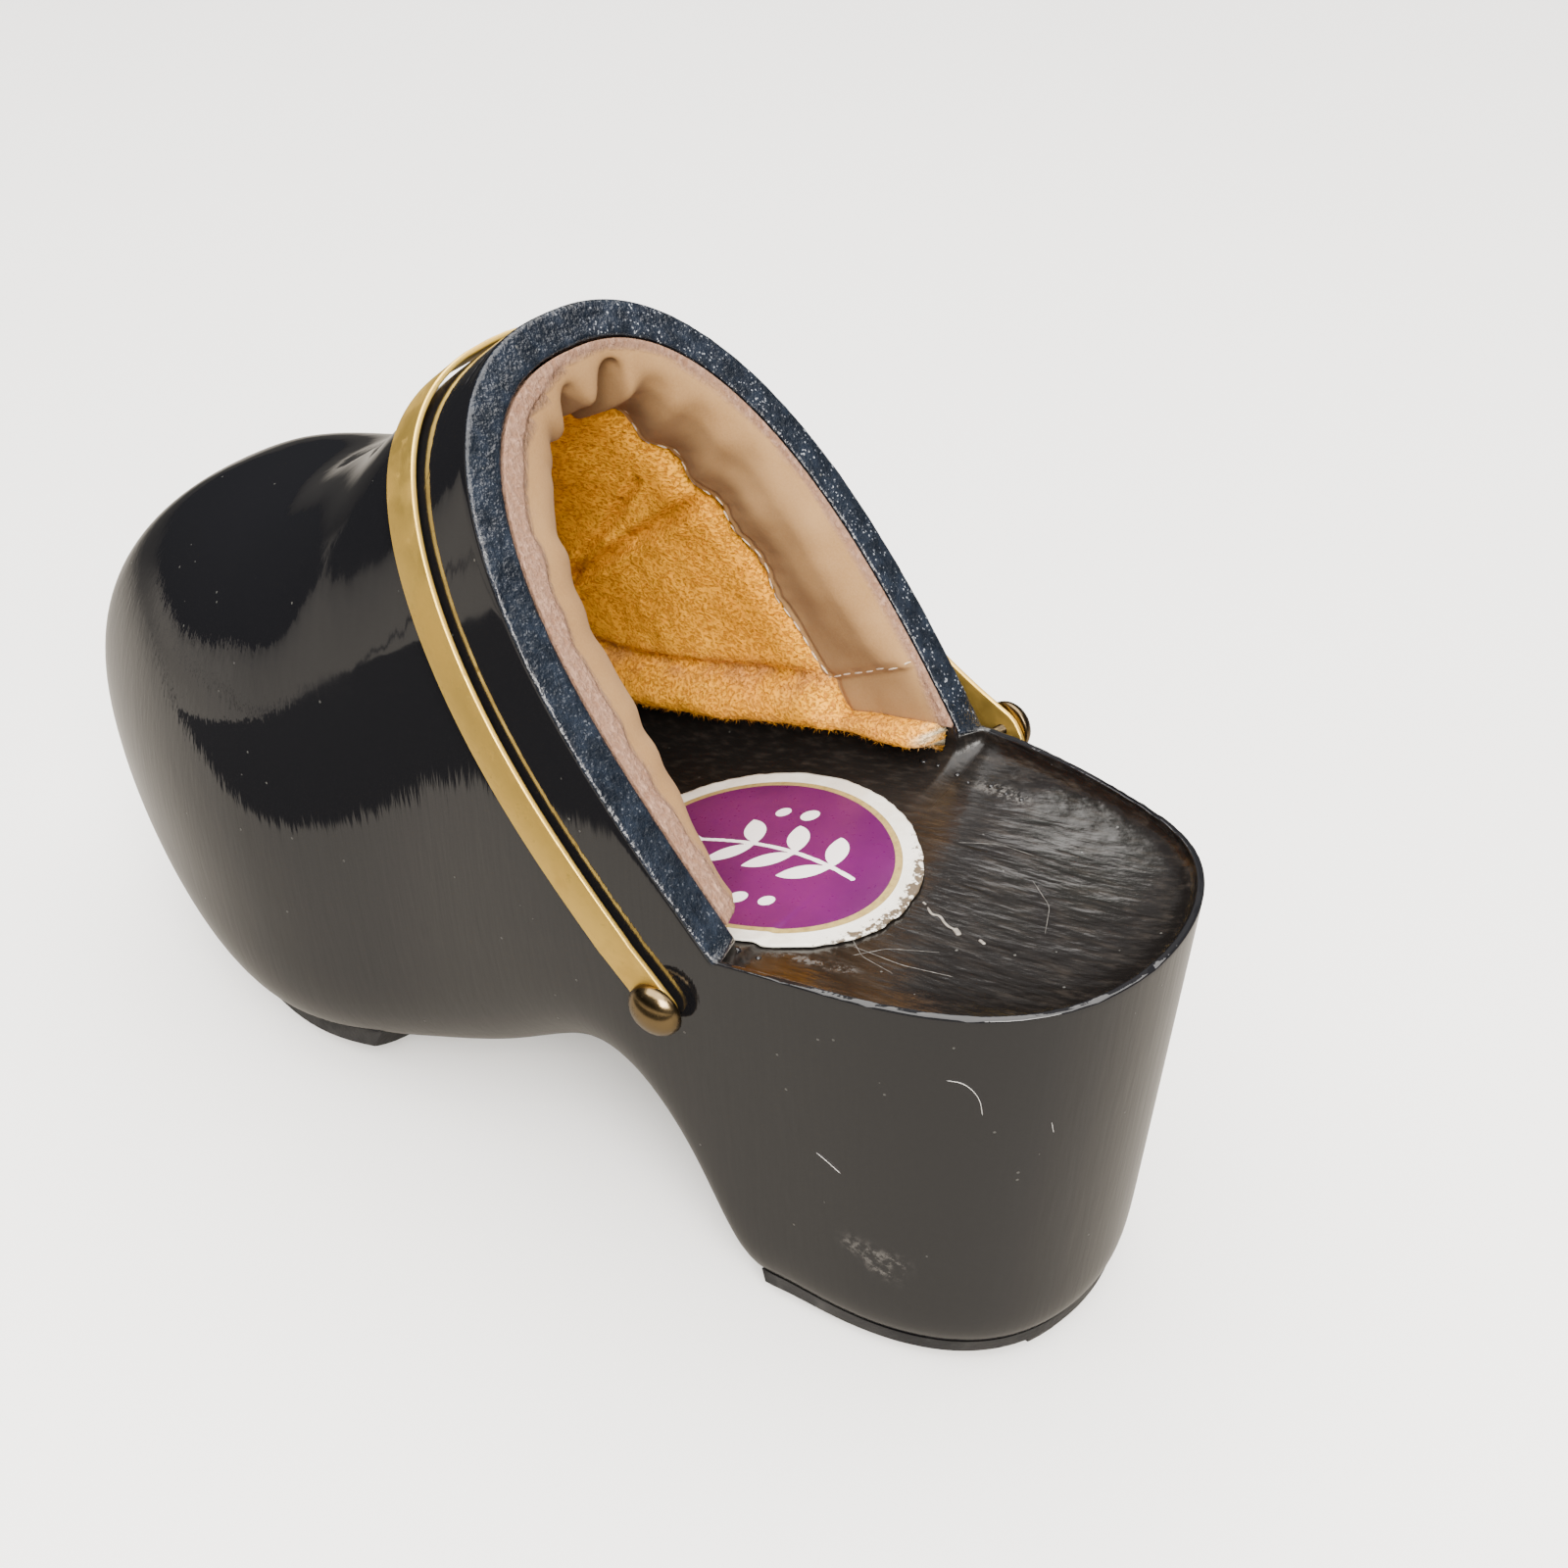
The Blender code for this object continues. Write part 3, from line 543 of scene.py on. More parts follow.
def buildShell():
    corner, rimCorner = shell["corner"], shell["rimCorner"]
    outsideTurns = bothSides(leftTurns(outer, corner))
    insideTurns = bothSides(leftTurns(inner, corner))
    tops = topLifts(outer, outsideTurns, corner, shell["rimDrops"][0])[:, None]
    climb = np.linspace(0, 1, shell["sideRows"] + 1)[1:]
    sole = np.concatenate([np.linspace(under, shell["edgeStart"], shell["underRows"], endpoint=False),
                           np.linspace(shell["edgeStart"], shell["edgeEnd"], shell["edgeRows"])])
    lifts = np.concatenate([np.tile(sole, (len(outsideTurns), 1)),
                            shell["edgeEnd"] + climb * (tops - shell["edgeEnd"])], 1)
    skin = surface(outer, outsideTurns[:, None], lifts)
    insideTops = topLifts(inner, insideTurns, corner, shell["rimDrops"][1])[:, None]
    sink = np.linspace(1, 0, shell["innerRows"])
    lining = surface(inner, insideTurns[:, None], under + sink * (insideTops - under))
    columns = len(outsideTurns)
    peak = shell["heelColumns"] + shell["collarColumns"] - 1
    run = np.concatenate([np.arange(columns - peak, columns), np.arange(0, peak + 1)])
    outerEdge = edgeRun(outer, 0.0, 0.0)[run]
    innerEdge = edgeRun(inner, 0.0, 0.0)[run]
    heel = np.minimum(run, columns - run) < shell["heelColumns"]
    chips = np.clip(lumps(outerEdge, shell["chips"]) - shell["chipFrom"], 0, 1)
    innerChips = np.clip(lumps(innerEdge, shell["innerChips"]), 0, 1)
    outerEdge[:, 2] -= np.where(heel, shell["chipDepth"] * chips, 0)
    innerEdge[:, 2] -= np.where(heel, shell["innerChipDepth"] * innerChips, 0)
    across = innerEdge - outerEdge
    wide = np.linalg.norm(across, axis=1, keepdims=True)
    bite = np.where(heel[:, None], rimCorner, corner) / wide
    nearSide = outerEdge + bite * across
    farSide = innerEdge - bite * across
    curve = np.linspace(0, 1, shell["cornerRows"])[:, None, None]

    def rounded(a, b, c):
        return (1 - curve)**2 * a + 2 * curve * (1 - curve) * b + curve**2 * c

    flat = np.linspace(0, 1, shell["cutRows"])[1:-1, None, None]
    face = nearSide + flat * (farSide - nearSide)
    strip = np.concatenate([rounded(skin[run, -1], outerEdge, nearSide), face,
                            rounded(farSide, innerEdge, lining[run, 0])]).transpose(1, 0, 2)
    middle = strip[:, 3:-3]
    lift = unit(np.array([-collarSlope, 0, 1]))
    middle += np.where(heel, 0.0, 1.0)[:, None, None] * lumps(middle, shell["cutLumps"])[..., None] * lift
    points, faces = joined([(skin, True), (strip, False), (lining, True)])
    onCut = np.tile(np.where(heel, 0.0, 1.0)[:, None], (1, strip.shape[1]))
    onCut[:, [0, 1, -2, -1]] = 0
    skinCount, liningCount = skin.size // 3, lining.size // 3
    cutFace = np.concatenate([np.zeros(skinCount), onCut.reshape(-1), np.zeros(liningCount)])
    inLining = np.arange(len(points)) >= len(points) - liningCount
    seatTop = inLining * (points[:, 2] < floorLine(points[:, 0]) + shell["seatRise"])
    scraped = np.zeros(len(points))
    for start, end, wide in shell["scrapes"]:
        line = np.subtract(end, start)
        along = np.clip((points - start) @ line / (line @ line), 0, 1)
        away = np.linalg.norm(points - start - along[:, None] * line, axis=1)
        scraped = np.maximum(scraped, hump(away, wide))
    marks = {"cutFace": cutFace, "seatTop": seatTop, "scraped": scraped}
    piece = meshPiece("shellBody", points, faces, lacquer, marks, 0.01)
    closePole(piece, surface(outer, np.array([np.pi]), np.array([over]))[0])
    return piece


# The columns run together at the front end of the ridge: points that nearly coincide there become one.
def closePole(piece, pole):
    centre = Vector(placed(pole))
    work = bmesh.new()
    work.from_mesh(piece.data)
    near = [v for v in work.verts if (v.co - centre).length < shell["poleReach"]]
    bmesh.ops.remove_doubles(work, verts=near, dist=shell["poleMerge"])
    work.to_mesh(piece.data)
    work.free()


shellBody = buildShell()
rideOn(shellBody, "black_lacquer", "clog_shell")
print("shell built", len(shellBody.data.polygons))


# Fabrics
def suedePaint(tree, place):
    raw = tree.mark("rawEdge")
    nap = place.noise(2600.0, 3.0, 0.7)
    fibres = place.stretch(1.0, 1.0, 0.5).noise(1100.0, 5.0, 0.65).ramp(0.35, 0.68)
    soilAndPaintedShade = place.noise(140.0, 5.0, 0.6).ramp(0.35, 0.65)
    felt = (soilAndPaintedShade * 0.45).mix(fibres.mix((0.20, 0.098, 0.063), (0.39, 0.230, 0.167)), (0.29, 0.165, 0.11))
    cloth = place.noise(60.0, 4.0).ramp(0.35, 0.7).mix((0.255, 0.138, 0.053), (0.315, 0.180, 0.075))
    colour = (nap.ramp(0.3, 0.7) * 0.22).mix(raw.mix(cloth, felt), (0.385, 0.237, 0.115))
    return {"Base_Color": colour, "Normal": tree.bumps((fibres * raw, 0.7, 0.0007), (nap, 0.25, 0.0002))}


def fleecePaint(tree, place):
    pills = place.noise(900.0, 4.0, 0.65)
    pits = place.stretch(1.0, 1.0, 1.5).noise(1250.0, 3.0, 0.6).ramp(0.36, 0.54)
    # Painted shade: a darker brown, broken up by noise, at the foot of the lining and along its crease.
    soilAndPaintedShade = tree.mark("footAndCreaseShade") * place.noise(150.0, 5.0, 0.6).ramp(0.35, 0.68)
    colour = place.noise(45.0, 4.0).ramp(0.35, 0.7).mix((0.84, 0.350, 0.010), (0.93, 0.425, 0.016))
    # The pits are real dents in the pile; their darker orange is painted shade in them.
    colour = pits.mix((0.62, 0.225, 0.007), colour)
    colour = (pills.ramp(0.55, 0.75) * 0.35).mix(colour, (0.95, 0.50, 0.05))
    colour = (soilAndPaintedShade * 0.75).mix(colour, (0.50, 0.21, 0.07))
    colour = tree.mark("frayed").mix(colour, (0.80, 0.68, 0.46))
    return {"Base_Color": colour, "Normal": tree.bumps((pits, 0.8, 0.0006), (pills, 0.6, 0.0005))}


def threadPaint(tree, place):
    twist = place.noise(2500.0, 2.0)
    return {"Base_Color": twist.ramp(0.3, 0.7).mix((0.50, 0.36, 0.24), (0.74, 0.60, 0.44)),
            "Normal": tree.bumps((twist, 0.4, 0.0002))}


suede = newMaterial("taupe_suede", suedePaint, Roughness=0.92, Specular_IOR_Level=0.15, Sheen_Weight=0.05,
                    Sheen_Roughness=0.5, Sheen_Tint=(1.0, 0.86, 0.74))
fleece = newMaterial("mustard_fleece", fleecePaint, Roughness=0.95, Specular_IOR_Level=0.1, Sheen_Weight=0.04,
                     Sheen_Roughness=0.6, Sheen_Tint=(1.0, 0.72, 0.35))
thread = newMaterial("pale_thread", threadPaint, Roughness=0.7, Sheen_Weight=0.2)


# Soft sheets that lie on the inside of the shell: an outer face, an inner face raised by a thickness,
# and edges where the two meet.
def padGrid(base, normals, height):
    return np.concatenate([base[::-1], (base + normals * height[..., None])[1:]], axis=0).transpose(1, 0, 2)


def padMark(outside, inside):
    return np.concatenate([outside[::-1], inside[1:]]).T.reshape(-1)


def fromEnds(points):
    run = runOf(points)
    return np.minimum(run, run[-1] - run)


# Cuff: padded suede roll round the inside of the collar, gathered over the throat, with a felt edge.
# Places run from -1 at the right end over 0 on the ridge to 1 at the left end.
# Gather rows are (place at the top, place at the hem, half width, depth at the top, depth at the hem).
cuff = {"depth": 25.0, "recess": 0.3, "foot": 9.0, "columns": 420, "rows": 56, "hemRound": 2.2, "hemHeight": 3.4,
        "felt": (0.9, 4.0), "roll": (5.6, 9.4), "rollRound": (5.0, 7.0), "seam": (-0.868, -0.925, 0.012, 0.9),
        "gathers": [(-0.080, -0.130, 0.031, 5.0, 3.2), (0.035, 0.000, 0.030, 3.0, 2.0),
                    (0.120, 0.105, 0.035, 0.6, 0.8), (-0.185, -0.275, 0.036, 1.0, 1.7),
                    (-0.300, -0.400, 0.036, 0.8, 1.4), (-0.430, -0.520, 0.040, 0.5, 1.2),
                    (-0.580, -0.660, 0.045, 0.3, 0.7)],
        "scallops": [(-0.04, 0.15, 7.0), (-0.52, 0.28, -3.0)], "spare": 11.0, "levels": 50,
        "hemWave": (0.22, 170, 0.75), "besideGather": (0.42, 1.6, 0.8), "hemDip": (0.7, 0.8), "sagStart": 9.0,
        "endRoll": (0.45, 0.28), "foldShare": 0.30, "least": (0.8, 0.3), "endRound": 1.6,
        "lumps": [(0.75, 15.0, 2.0), (0.30, 6.5, 4.0)], "feltLumps": [(0.25, 6.0, 11.0)],
        "nearSide": (-0.05, 0.25), "topRound": 0.5, "feltWide": 0.7, "gatherStart": (0.4, 3.5),
        "seamStart": (1.0, 4.0), "foldWide": 0.01, "rawRise": (0.2, 1.0), "rawDepth": 5.0}
stitch = {"long": 2.3, "step": 3.3, "thick": 0.34, "inFromHem": 2.4, "raised": 0.08, "overEdge": 1.2,
          "hemPlaces": (-0.90, 0.45), "seamInset": 7}


def collarCurve(ahead, half):
    peak = peakTurn(softBase, ahead)
    start = turnAt(collarEnd + 1.2)
    turns = peak - (peak - start) * (1 - np.linspace(0, 1, 500))**2
    sides = []
    for side in (2 * np.pi - turns, turns):
        points = surface(softBase, side, crossing(softBase, side, lambda x: cutHeight(x, ahead), -0.42))
        free = points[:, 2] >= floorLine(points[:, 0]) + cuff["foot"]
        sides.append(resampled(points[np.argmax(free):], half))
    return np.concatenate([sides[0], sides[1][-2::-1]])


def buildCuff():
    half = cuff["columns"] // 2
    depths = np.linspace(cuff["recess"], cuff["depth"] + cuff["spare"], cuff["levels"])
    sheet = np.stack([collarCurve(d, half) for d in depths])
    place = np.concatenate([np.linspace(-1, 0, half), np.linspace(0, 1, half)[1:]])
    hem = np.full_like(place, cuff["depth"])
    for centre, wide, drop in cuff["scallops"]:
        hem += drop * hump(place - centre, wide)
    wave, pitch, reach = cuff["hemWave"]
    hem += wave * np.sin(place * pitch) * (np.abs(place) < reach)
    share = (1 - np.cos(np.linspace(0, np.pi, cuff["rows"]))) / 2
    wanted = blend(cuff["recess"], hem, share[:, None])
    base = np.stack([evenly(sheet[:, k], depths, wanted[:, k]) for k in range(len(place))], 1)
    normals = unit(np.cross(np.gradient(base, axis=1), np.gradient(base, axis=0)))
    if normals[5, half, 2] > 0:
        normals = -normals
    down = share[:, None]
    near = smoothStep(place, *cuff["nearSide"])[None]
    inward = wanted - cuff["recess"]
    felt = blend(*cuff["felt"], near) * (1 + lumps(base[3:4], cuff["feltLumps"]))
    ease = blend(*cuff["rollRound"], near)
    endShare, endReach = cuff["endRoll"]
    roll = blend(*cuff["roll"], near) * blend(endShare, 1.0, smoothStep(1 - np.abs(place), 0.0, endReach))[None]
    roll = roll * edgeRound(inward - cuff["topRound"] - cuff["feltWide"] * near, ease)
    flat = felt * edgeRound(inward, cuff["topRound"])
    height = flat + roll
    sag = smoothStep(inward, cuff["sagStart"], hem - cuff["recess"])
    height = blend(height, np.minimum(height, cuff["hemHeight"]), sag)
    ridgeHigh, ridgeOff, ridgeWide = cuff["besideGather"]
    for top, low, wide, deepTop, deepLow in cuff["gathers"]:
        off = (place[None] - blend(top, low, down)) / wide
        deep = blend(deepTop, deepLow, down) * smoothStep(inward, *cuff["gatherStart"])
        height += deep * (ridgeHigh * hump(np.abs(off) - ridgeOff, ridgeWide) - hump(off, 1.0))
    seamTop, seamLow, seamWide, seamDeep = cuff["seam"]
    seamOff = place[None] - blend(seamTop, seamLow, down)
    height *= 1 - cuff["foldShare"] * smoothStep(-seamOff, 0.0, cuff["foldWide"])
    height -= seamDeep * hump(seamOff, seamWide) * smoothStep(inward, *cuff["seamStart"])
    dip, dipWide = cuff["hemDip"]
    height -= dip * hump(hem - wanted - stitch["inFromHem"], dipWide)
    height += lumps(base, cuff["lumps"])
    height = np.maximum(height, cuff["least"][0] + cuff["least"][1] * flat)
    height *= edgeRound(inward, cuff["topRound"]) * edgeRound(hem - wanted, cuff["hemRound"])
    height *= edgeRound(fromEnds(base[4]), cuff["endRound"])
    raw = (1 - smoothStep(height - flat, *cuff["rawRise"])) * (inward < cuff["rawDepth"])
    piece = gridPiece("cuffPad", padGrid(base, normals, height), suede,
                      {"rawEdge": padMark(np.ones_like(raw), raw)}, turned=True)
    return piece, base, normals, height, place


cuffPad, cuffBase, cuffNormals, cuffHeight, cuffPlace = buildCuff()
rideOn(cuffPad, "taupe_suede", "collar_cuff")
print("cuff built", len(cuffPad.data.polygons))


# Geometry Nodes: copies of a small form set on points, run on a piece and kept as a plain mesh
def copyTree(name, inputs):
    given = {"Geometry": "Geometry", **inputs, "Long": "Float", "Thick": "Float", "Material": "Material"}
    return newTree("GeometryNodeTree", name, given, {"Geometry": "Geometry"})


def finishTree(tree, given, result, points, form, rotation):
    size = tree.get("ShaderNodeCombineXYZ", {0: given["Thick"], 1: given["Thick"], 2: given["Long"]})
    copies = tree.get("GeometryNodeInstanceOnPoints", {"Points": points, "Instance": form, "Rotation": rotation,
                                                       "Scale": size})
    real = tree.get("GeometryNodeRealizeInstances", {"Geometry": copies})
    smooth = tree.get("GeometryNodeSetShadeSmooth", {"Geometry": real})
    painted = tree.get("GeometryNodeSetMaterial", {"Geometry": smooth, "Material": given["Material"]})
    tree.feed(result, Geometry=painted)
    return tree.tree


def grown(name, source, group, values, slot):
    carrier = linked(name, source)
    modifier = carrier.modifiers.new(name, "NODES")
    modifier.node_group = group
    for item in group.interface.items_tree:
        if item.in_out == "INPUT" and item.name in values:
            modifier[item.identifier] = values[item.name]
    ready = carrier.evaluated_get(bpy.context.evaluated_depsgraph_get())
    mesh = bpy.data.meshes.new_from_object(ready)
    mesh.name = name
    carrier.modifiers.remove(modifier)
    carrier.data = mesh
    rideOn(carrier, slot)
    return carrier


# Stitches along the hem and along the folded right end, one thread bead for each step of the path
def stitchTree():
    tree, given, result = copyTree("stitchRow", {"Step": "Float"})
    path = tree.get("GeometryNodeMeshToCurve", {"Mesh": given["Geometry"]})
    steps = tree.get("GeometryNodeResampleCurve", {"Curve": path, "Length": given["Step"]}, mode="LENGTH")
    thread = tree.get("GeometryNodeMeshUVSphere", {"Segments": 8, "Rings": 6, "Radius": 0.5}, "Mesh")
    ahead = tree.get("GeometryNodeInputTangent")
    turn = tree.get("FunctionNodeAlignRotationToVector", {"Vector": ahead}, axis="Z")
    return finishTree(tree, given, result, steps, thread, turn)


def pathMesh(name, paths):
    points = np.concatenate(paths)
    edges = []
    start = 0
    for path in paths:
        edges += [(start + k, start + k + 1) for k in range(len(path) - 1)]
        start += len(path)
    mesh = bpy.data.meshes.new(name)
    mesh.from_pydata(placed(points).tolist(), edges, [])
    return mesh


def cuffStitches():
    top = cuffBase + cuffNormals * (cuffHeight + stitch["raised"])[..., None]
    columns = np.arange(top.shape[1])
    fall = np.concatenate([np.cumsum(np.linalg.norm(np.diff(top[::-1], axis=0), axis=2), axis=0)[::-1],
                           np.zeros((1, top.shape[1]))])
    row = np.argmin(np.abs(fall - stitch["inFromHem"] - stitch["overEdge"]), axis=0)
    first, final = stitch["hemPlaces"]
    hem = top[row, columns][(cuffPlace > first) & (cuffPlace < final)]
    seamTop, seamLow = cuff["seam"][:2]
    share = np.linspace(0, 1, cuff["rows"])
    rows = np.arange(stitch["seamInset"], cuff["rows"] - stitch["seamInset"])
    down = (1 - np.cos(np.pi * share[rows])) / 2
    seam = top[rows, np.searchsorted(cuffPlace, blend(seamTop, seamLow, down))]
    values = {"Step": stitch["step"] * 0.001, "Long": stitch["long"] * 0.001, "Thick": stitch["thick"] * 0.001,
              "Material": thread}
    grown("cuffStitches", pathMesh("stitchPaths", [hem, seam]), stitchTree(), values, "taupe_suede")


cuffStitches()
print("stitches built")

# Fleece: lining of the toe box with a soft roll along the foot bed, creased where it was folded in.
# Crease rows are (from x, from z, to x, to z, half width, depth, side). The shade row is (darkness at the foot,
# reach up from the foot, half width at the crease) of the painted shade.
lining = {"thick": 4.4, "foot": -0.42, "start": 62.0, "tuck": 2.5, "creased": 172.0, "columns": (104, 52, 24),
          "rows": 128, "rollHeight": 5.5, "rollWide": 4.6, "roll": 4.2, "creaseAt": 13.0, "creaseWide": 1.6,
          "crease": 2.6, "lumps": [(0.7, 16.0, 1.0), (0.35, 6.0, 3.0), (0.16, 2.4, 8.0)],
          "rollLumps": [(0.35, 13.0, 6.0)], "creaseEnds": 5.0, "besideCrease": (0.4, 2.2), "pastPeak": 16.0,
          "hemRound": 9.0, "hemShare": 0.3, "hemEdge": 0.8, "round": 4.0, "footAndCreaseShade": (0.7, 15.0, 3.0),
          "frayed": 2.2, "overCuff": 1.5, "endRow": 20,
          "creases": [(160, 81, 129, 119, 0.9, 1.3, -1), (162, 79, 116, 117, 1.3, 2.3, -1)]}


def buildFleece():
    ahead = cuff["depth"] - lining["tuck"]
    peak = peakTurn(softBase, ahead)
    sides, creased, toe = (np.linspace(0, 1, count, endpoint=False) for count in lining["columns"])
    bound = turnAt(lining["creased"])
    left = np.concatenate([blend(peak, turnAt(lining["start"]), (1 - sides)**2), blend(peak, bound, creased),
                           blend(bound, np.pi, toe), [np.pi]])

    def top(x):
        return np.maximum(cutHeight(x, ahead), floorLine(x) + cuff["foot"] + lining["overCuff"])

    turns = np.concatenate([left, 2 * np.pi - left[-2::-1]])
    high = crossing(softBase, turns, top, lining["foot"])
    middle = spineAt(stationAt(turns))[0]
    high = np.where(softBase["top"](middle) < cutHeight(middle, ahead) + 0.01, over, high)
    lifts = blend(lining["foot"], high, np.linspace(0, 1, lining["rows"])[:, None])
    base = surface(softBase, turns[None], lifts)
    normals = -facing(softBase, turns[None], np.minimum(lifts, over - 0.03))
    past = smoothStep(middle - spineAt(stationAt(peak))[0], 0.0, lining["pastPeak"])
    ridge = unit(normals[-1] + normals[-1, ::-1])
    normals[-1] = np.where(past[:, None] > 0, ridge, normals[-1])
    climb = np.stack([runOf(base[:, k]) for k in range(len(turns))], 1)
    height = lining["thick"] + lumps(base, lining["lumps"])
    waves = 1 + lumps(base, lining["rollLumps"])
    height += lining["roll"] * waves * hump(climb - lining["rollHeight"], lining["rollWide"])
    height -= lining["crease"] * hump(climb - lining["creaseAt"], lining["creaseWide"])
    ends = lining["creaseEnds"]
    ridgeHigh, ridgeOff = lining["besideCrease"]
    for x0, z0, x1, z1, wide, deep, side in lining["creases"]:
        line = np.array([x1 - x0, z1 - z0])
        size = np.hypot(*line)
        rel = np.stack([base[..., 0] - x0, base[..., 2] - z0], -1)
        along = rel @ line / size
        away = np.abs(rel[..., 0] * line[1] - rel[..., 1] * line[0]) / size
        inside = edgeRound(along, ends) * edgeRound(size - along, ends) * (np.sign(base[..., 1]) == side)
        height += deep * inside * (ridgeHigh * hump(away - ridgeOff * wide, wide) - hump(away, wide))
    left = climb[-1:] - climb
    tucked = blend(lining["hemShare"], 1.0, edgeRound(left, lining["hemRound"]))
    tucked *= edgeRound(left, lining["hemEdge"])
    ends = fromEnds(base[lining["endRow"]])
    height *= edgeRound(climb, lining["round"]) * blend(tucked, 1.0, past) * edgeRound(ends, lining["round"])
    # Painted shade mask: darkest at the foot of the lining and fading up over the reach, and along the crease.
    share, reach, wide = lining["footAndCreaseShade"]
    low = np.maximum(share * np.clip(1 - climb / reach, 0, 1), hump(climb - lining["creaseAt"], wide))
    pale = hump(ends, lining["frayed"]) * smoothStep(wobble(base, 1.6, 4.0), -0.25, 0.15)
    marks = {"footAndCreaseShade": padMark(low, low), "frayed": padMark(pale, pale)}
    return gridPiece("fleeceLining", padGrid(base, normals, height), fleece, marks, turned=True)


fleeceLining = buildFleece()
rideOn(fleeceLining, "mustard_fleece", "fleece_lining")
print("fleece built", len(fleeceLining.data.polygons))

# Nap of the fleece: short loose fibres that lie over it at random
nap = {"density": 700000.0, "long": 1.5, "thick": 0.055, "lean": 1.35, "seed": 7}


def napTree():
    tree, given, result = copyTree("fleeceNap", {"Density": "Float", "Lean": "Float", "Seed": "Int"})
    spots = tree.add("GeometryNodeDistributePointsOnFaces", {
        "Mesh": given["Geometry"], "Density": given["Density"], "Seed": given["Seed"]}).outputs
    fibre = tree.get("GeometryNodeMeshCone", {"Vertices": 3, "Radius Top": 0.0, "Radius Bottom": 1.0,
                                              "Depth": 1.0}, "Mesh")
    swing = tree.get("FunctionNodeRandomValue", {"Seed": given["Seed"], "Min": (-1.0, -1.0, -3.14),
                                                 "Max": (1.0, 1.0, 3.14)}, data_type="FLOAT_VECTOR")
    lean = tree.get("ShaderNodeCombineXYZ", {0: given["Lean"], 1: given["Lean"], 2: 1.0})
    tilt = tree.get("ShaderNodeVectorMath", {0: swing, 1: lean}, operation="MULTIPLY")
    turned = tree.get("FunctionNodeRotateRotation", {"Rotation": spots["Rotation"], "Rotate By": tilt},
                      rotation_space="LOCAL")
    return finishTree(tree, given, result, spots["Points"], fibre, turned)


def buildNap():
    values = {"Density": nap["density"], "Long": nap["long"] * 0.001, "Thick": nap["thick"] * 0.001,
              "Lean": nap["lean"], "Seed": nap["seed"], "Material": fleece}
    return grown("fleeceNap", fleeceLining.data.copy(), napTree(), values, "mustard_fleece")


fleeceNap = buildNap()
print("nap built", len(fleeceNap.data.polygons))


# Brass: the band, its studs and their patina
def brassPaint(bright, dark, rough):
    def paint(tree, place):
        stains = place.noise(70.0, 4.0).ramp(0.45, 0.66)
        spots = place.noise(380.0, 4.0, 0.6).ramp(0.58, 0.74)
        colour = (spots * 0.45).mix(stains.mix(bright, dark), tuple(0.5 * v for v in dark))
        brushed = place.stretch(1.0, 1.0, 0.2).noise(2200.0)
        return {"Base_Color": colour, "Roughness": stains * 0.16 + rough + spots * 0.15,
                "Normal": tree.bumps((brushed, 0.08, 0.0002))}

    return paint


brass = newMaterial("tarnished_brass", brassPaint((1.0, 0.68, 0.16), (0.78, 0.52, 0.12), 0.42), Metallic=1.0)
oldBrass = newMaterial("antique_brass", brassPaint((0.22, 0.155, 0.075), (0.06, 0.045, 0.03), 0.20),
                       Metallic=1.0)

# End rows are (side, x of the stud, distance ahead of the collar there, tail past the stud, stand-off)
band = {"ahead": 17.5, "level": 128.0, "clear": 88.0, "wide": 7.5, "thick": 1.0, "gap": 0.7, "corner": 0.3,
        "stations": 320, "ends": {"left": (1, 69.2, 16.5, 3.5, 0.0), "right": (-1, 57.5, 0.2, 5.5, 3.3)}}
# Lip rows of a stud are (in from its radius, height).
stud = {"radius": 5.0, "rise": 3.4, "neck": 1.1, "sides": 56, "seat": 0.3, "root": 1.0, "domeRows": 16,
        "domeStart": 8, "lip": [(0.7, -0.25), (0.15, -0.12), (0.0, 0.15)]}


def bandRun(side, x, near, tail, spring):
    peak = peakTurn(outer, band["ahead"])
    first = turnAt(x - tail / np.hypot(1, collarSlope))
    turns = first + (peak - 1e-4 - first) * np.linspace(0, 1, 240)
    turns = turns if side > 0 else 2 * np.pi - turns

    def height(v):
        share = np.clip((v - x) / (band["level"] - x), 0, 1)
        return cutHeight(v, blend(near, band["ahead"], share * (2 - share)))

    place = np.array([turnAt(x) if side > 0 else 2 * np.pi - turnAt(x)])
    lifts = crossing(outer, turns, height, -0.6)
    studLift = crossing(outer, place, height, -0.6)
    points = surface(outer, turns, lifts)

    def gap(v):
        return band["gap"] + spring * np.clip((band["clear"] - v) / (band["clear"] - x), 0, 1)**2

    return (points, facing(outer, turns, np.minimum(lifts, over - 0.02)), gap(points[:, 0]),
            (surface(outer, place, studLift)[0], facing(outer, place, studLift)[0], gap(x)))


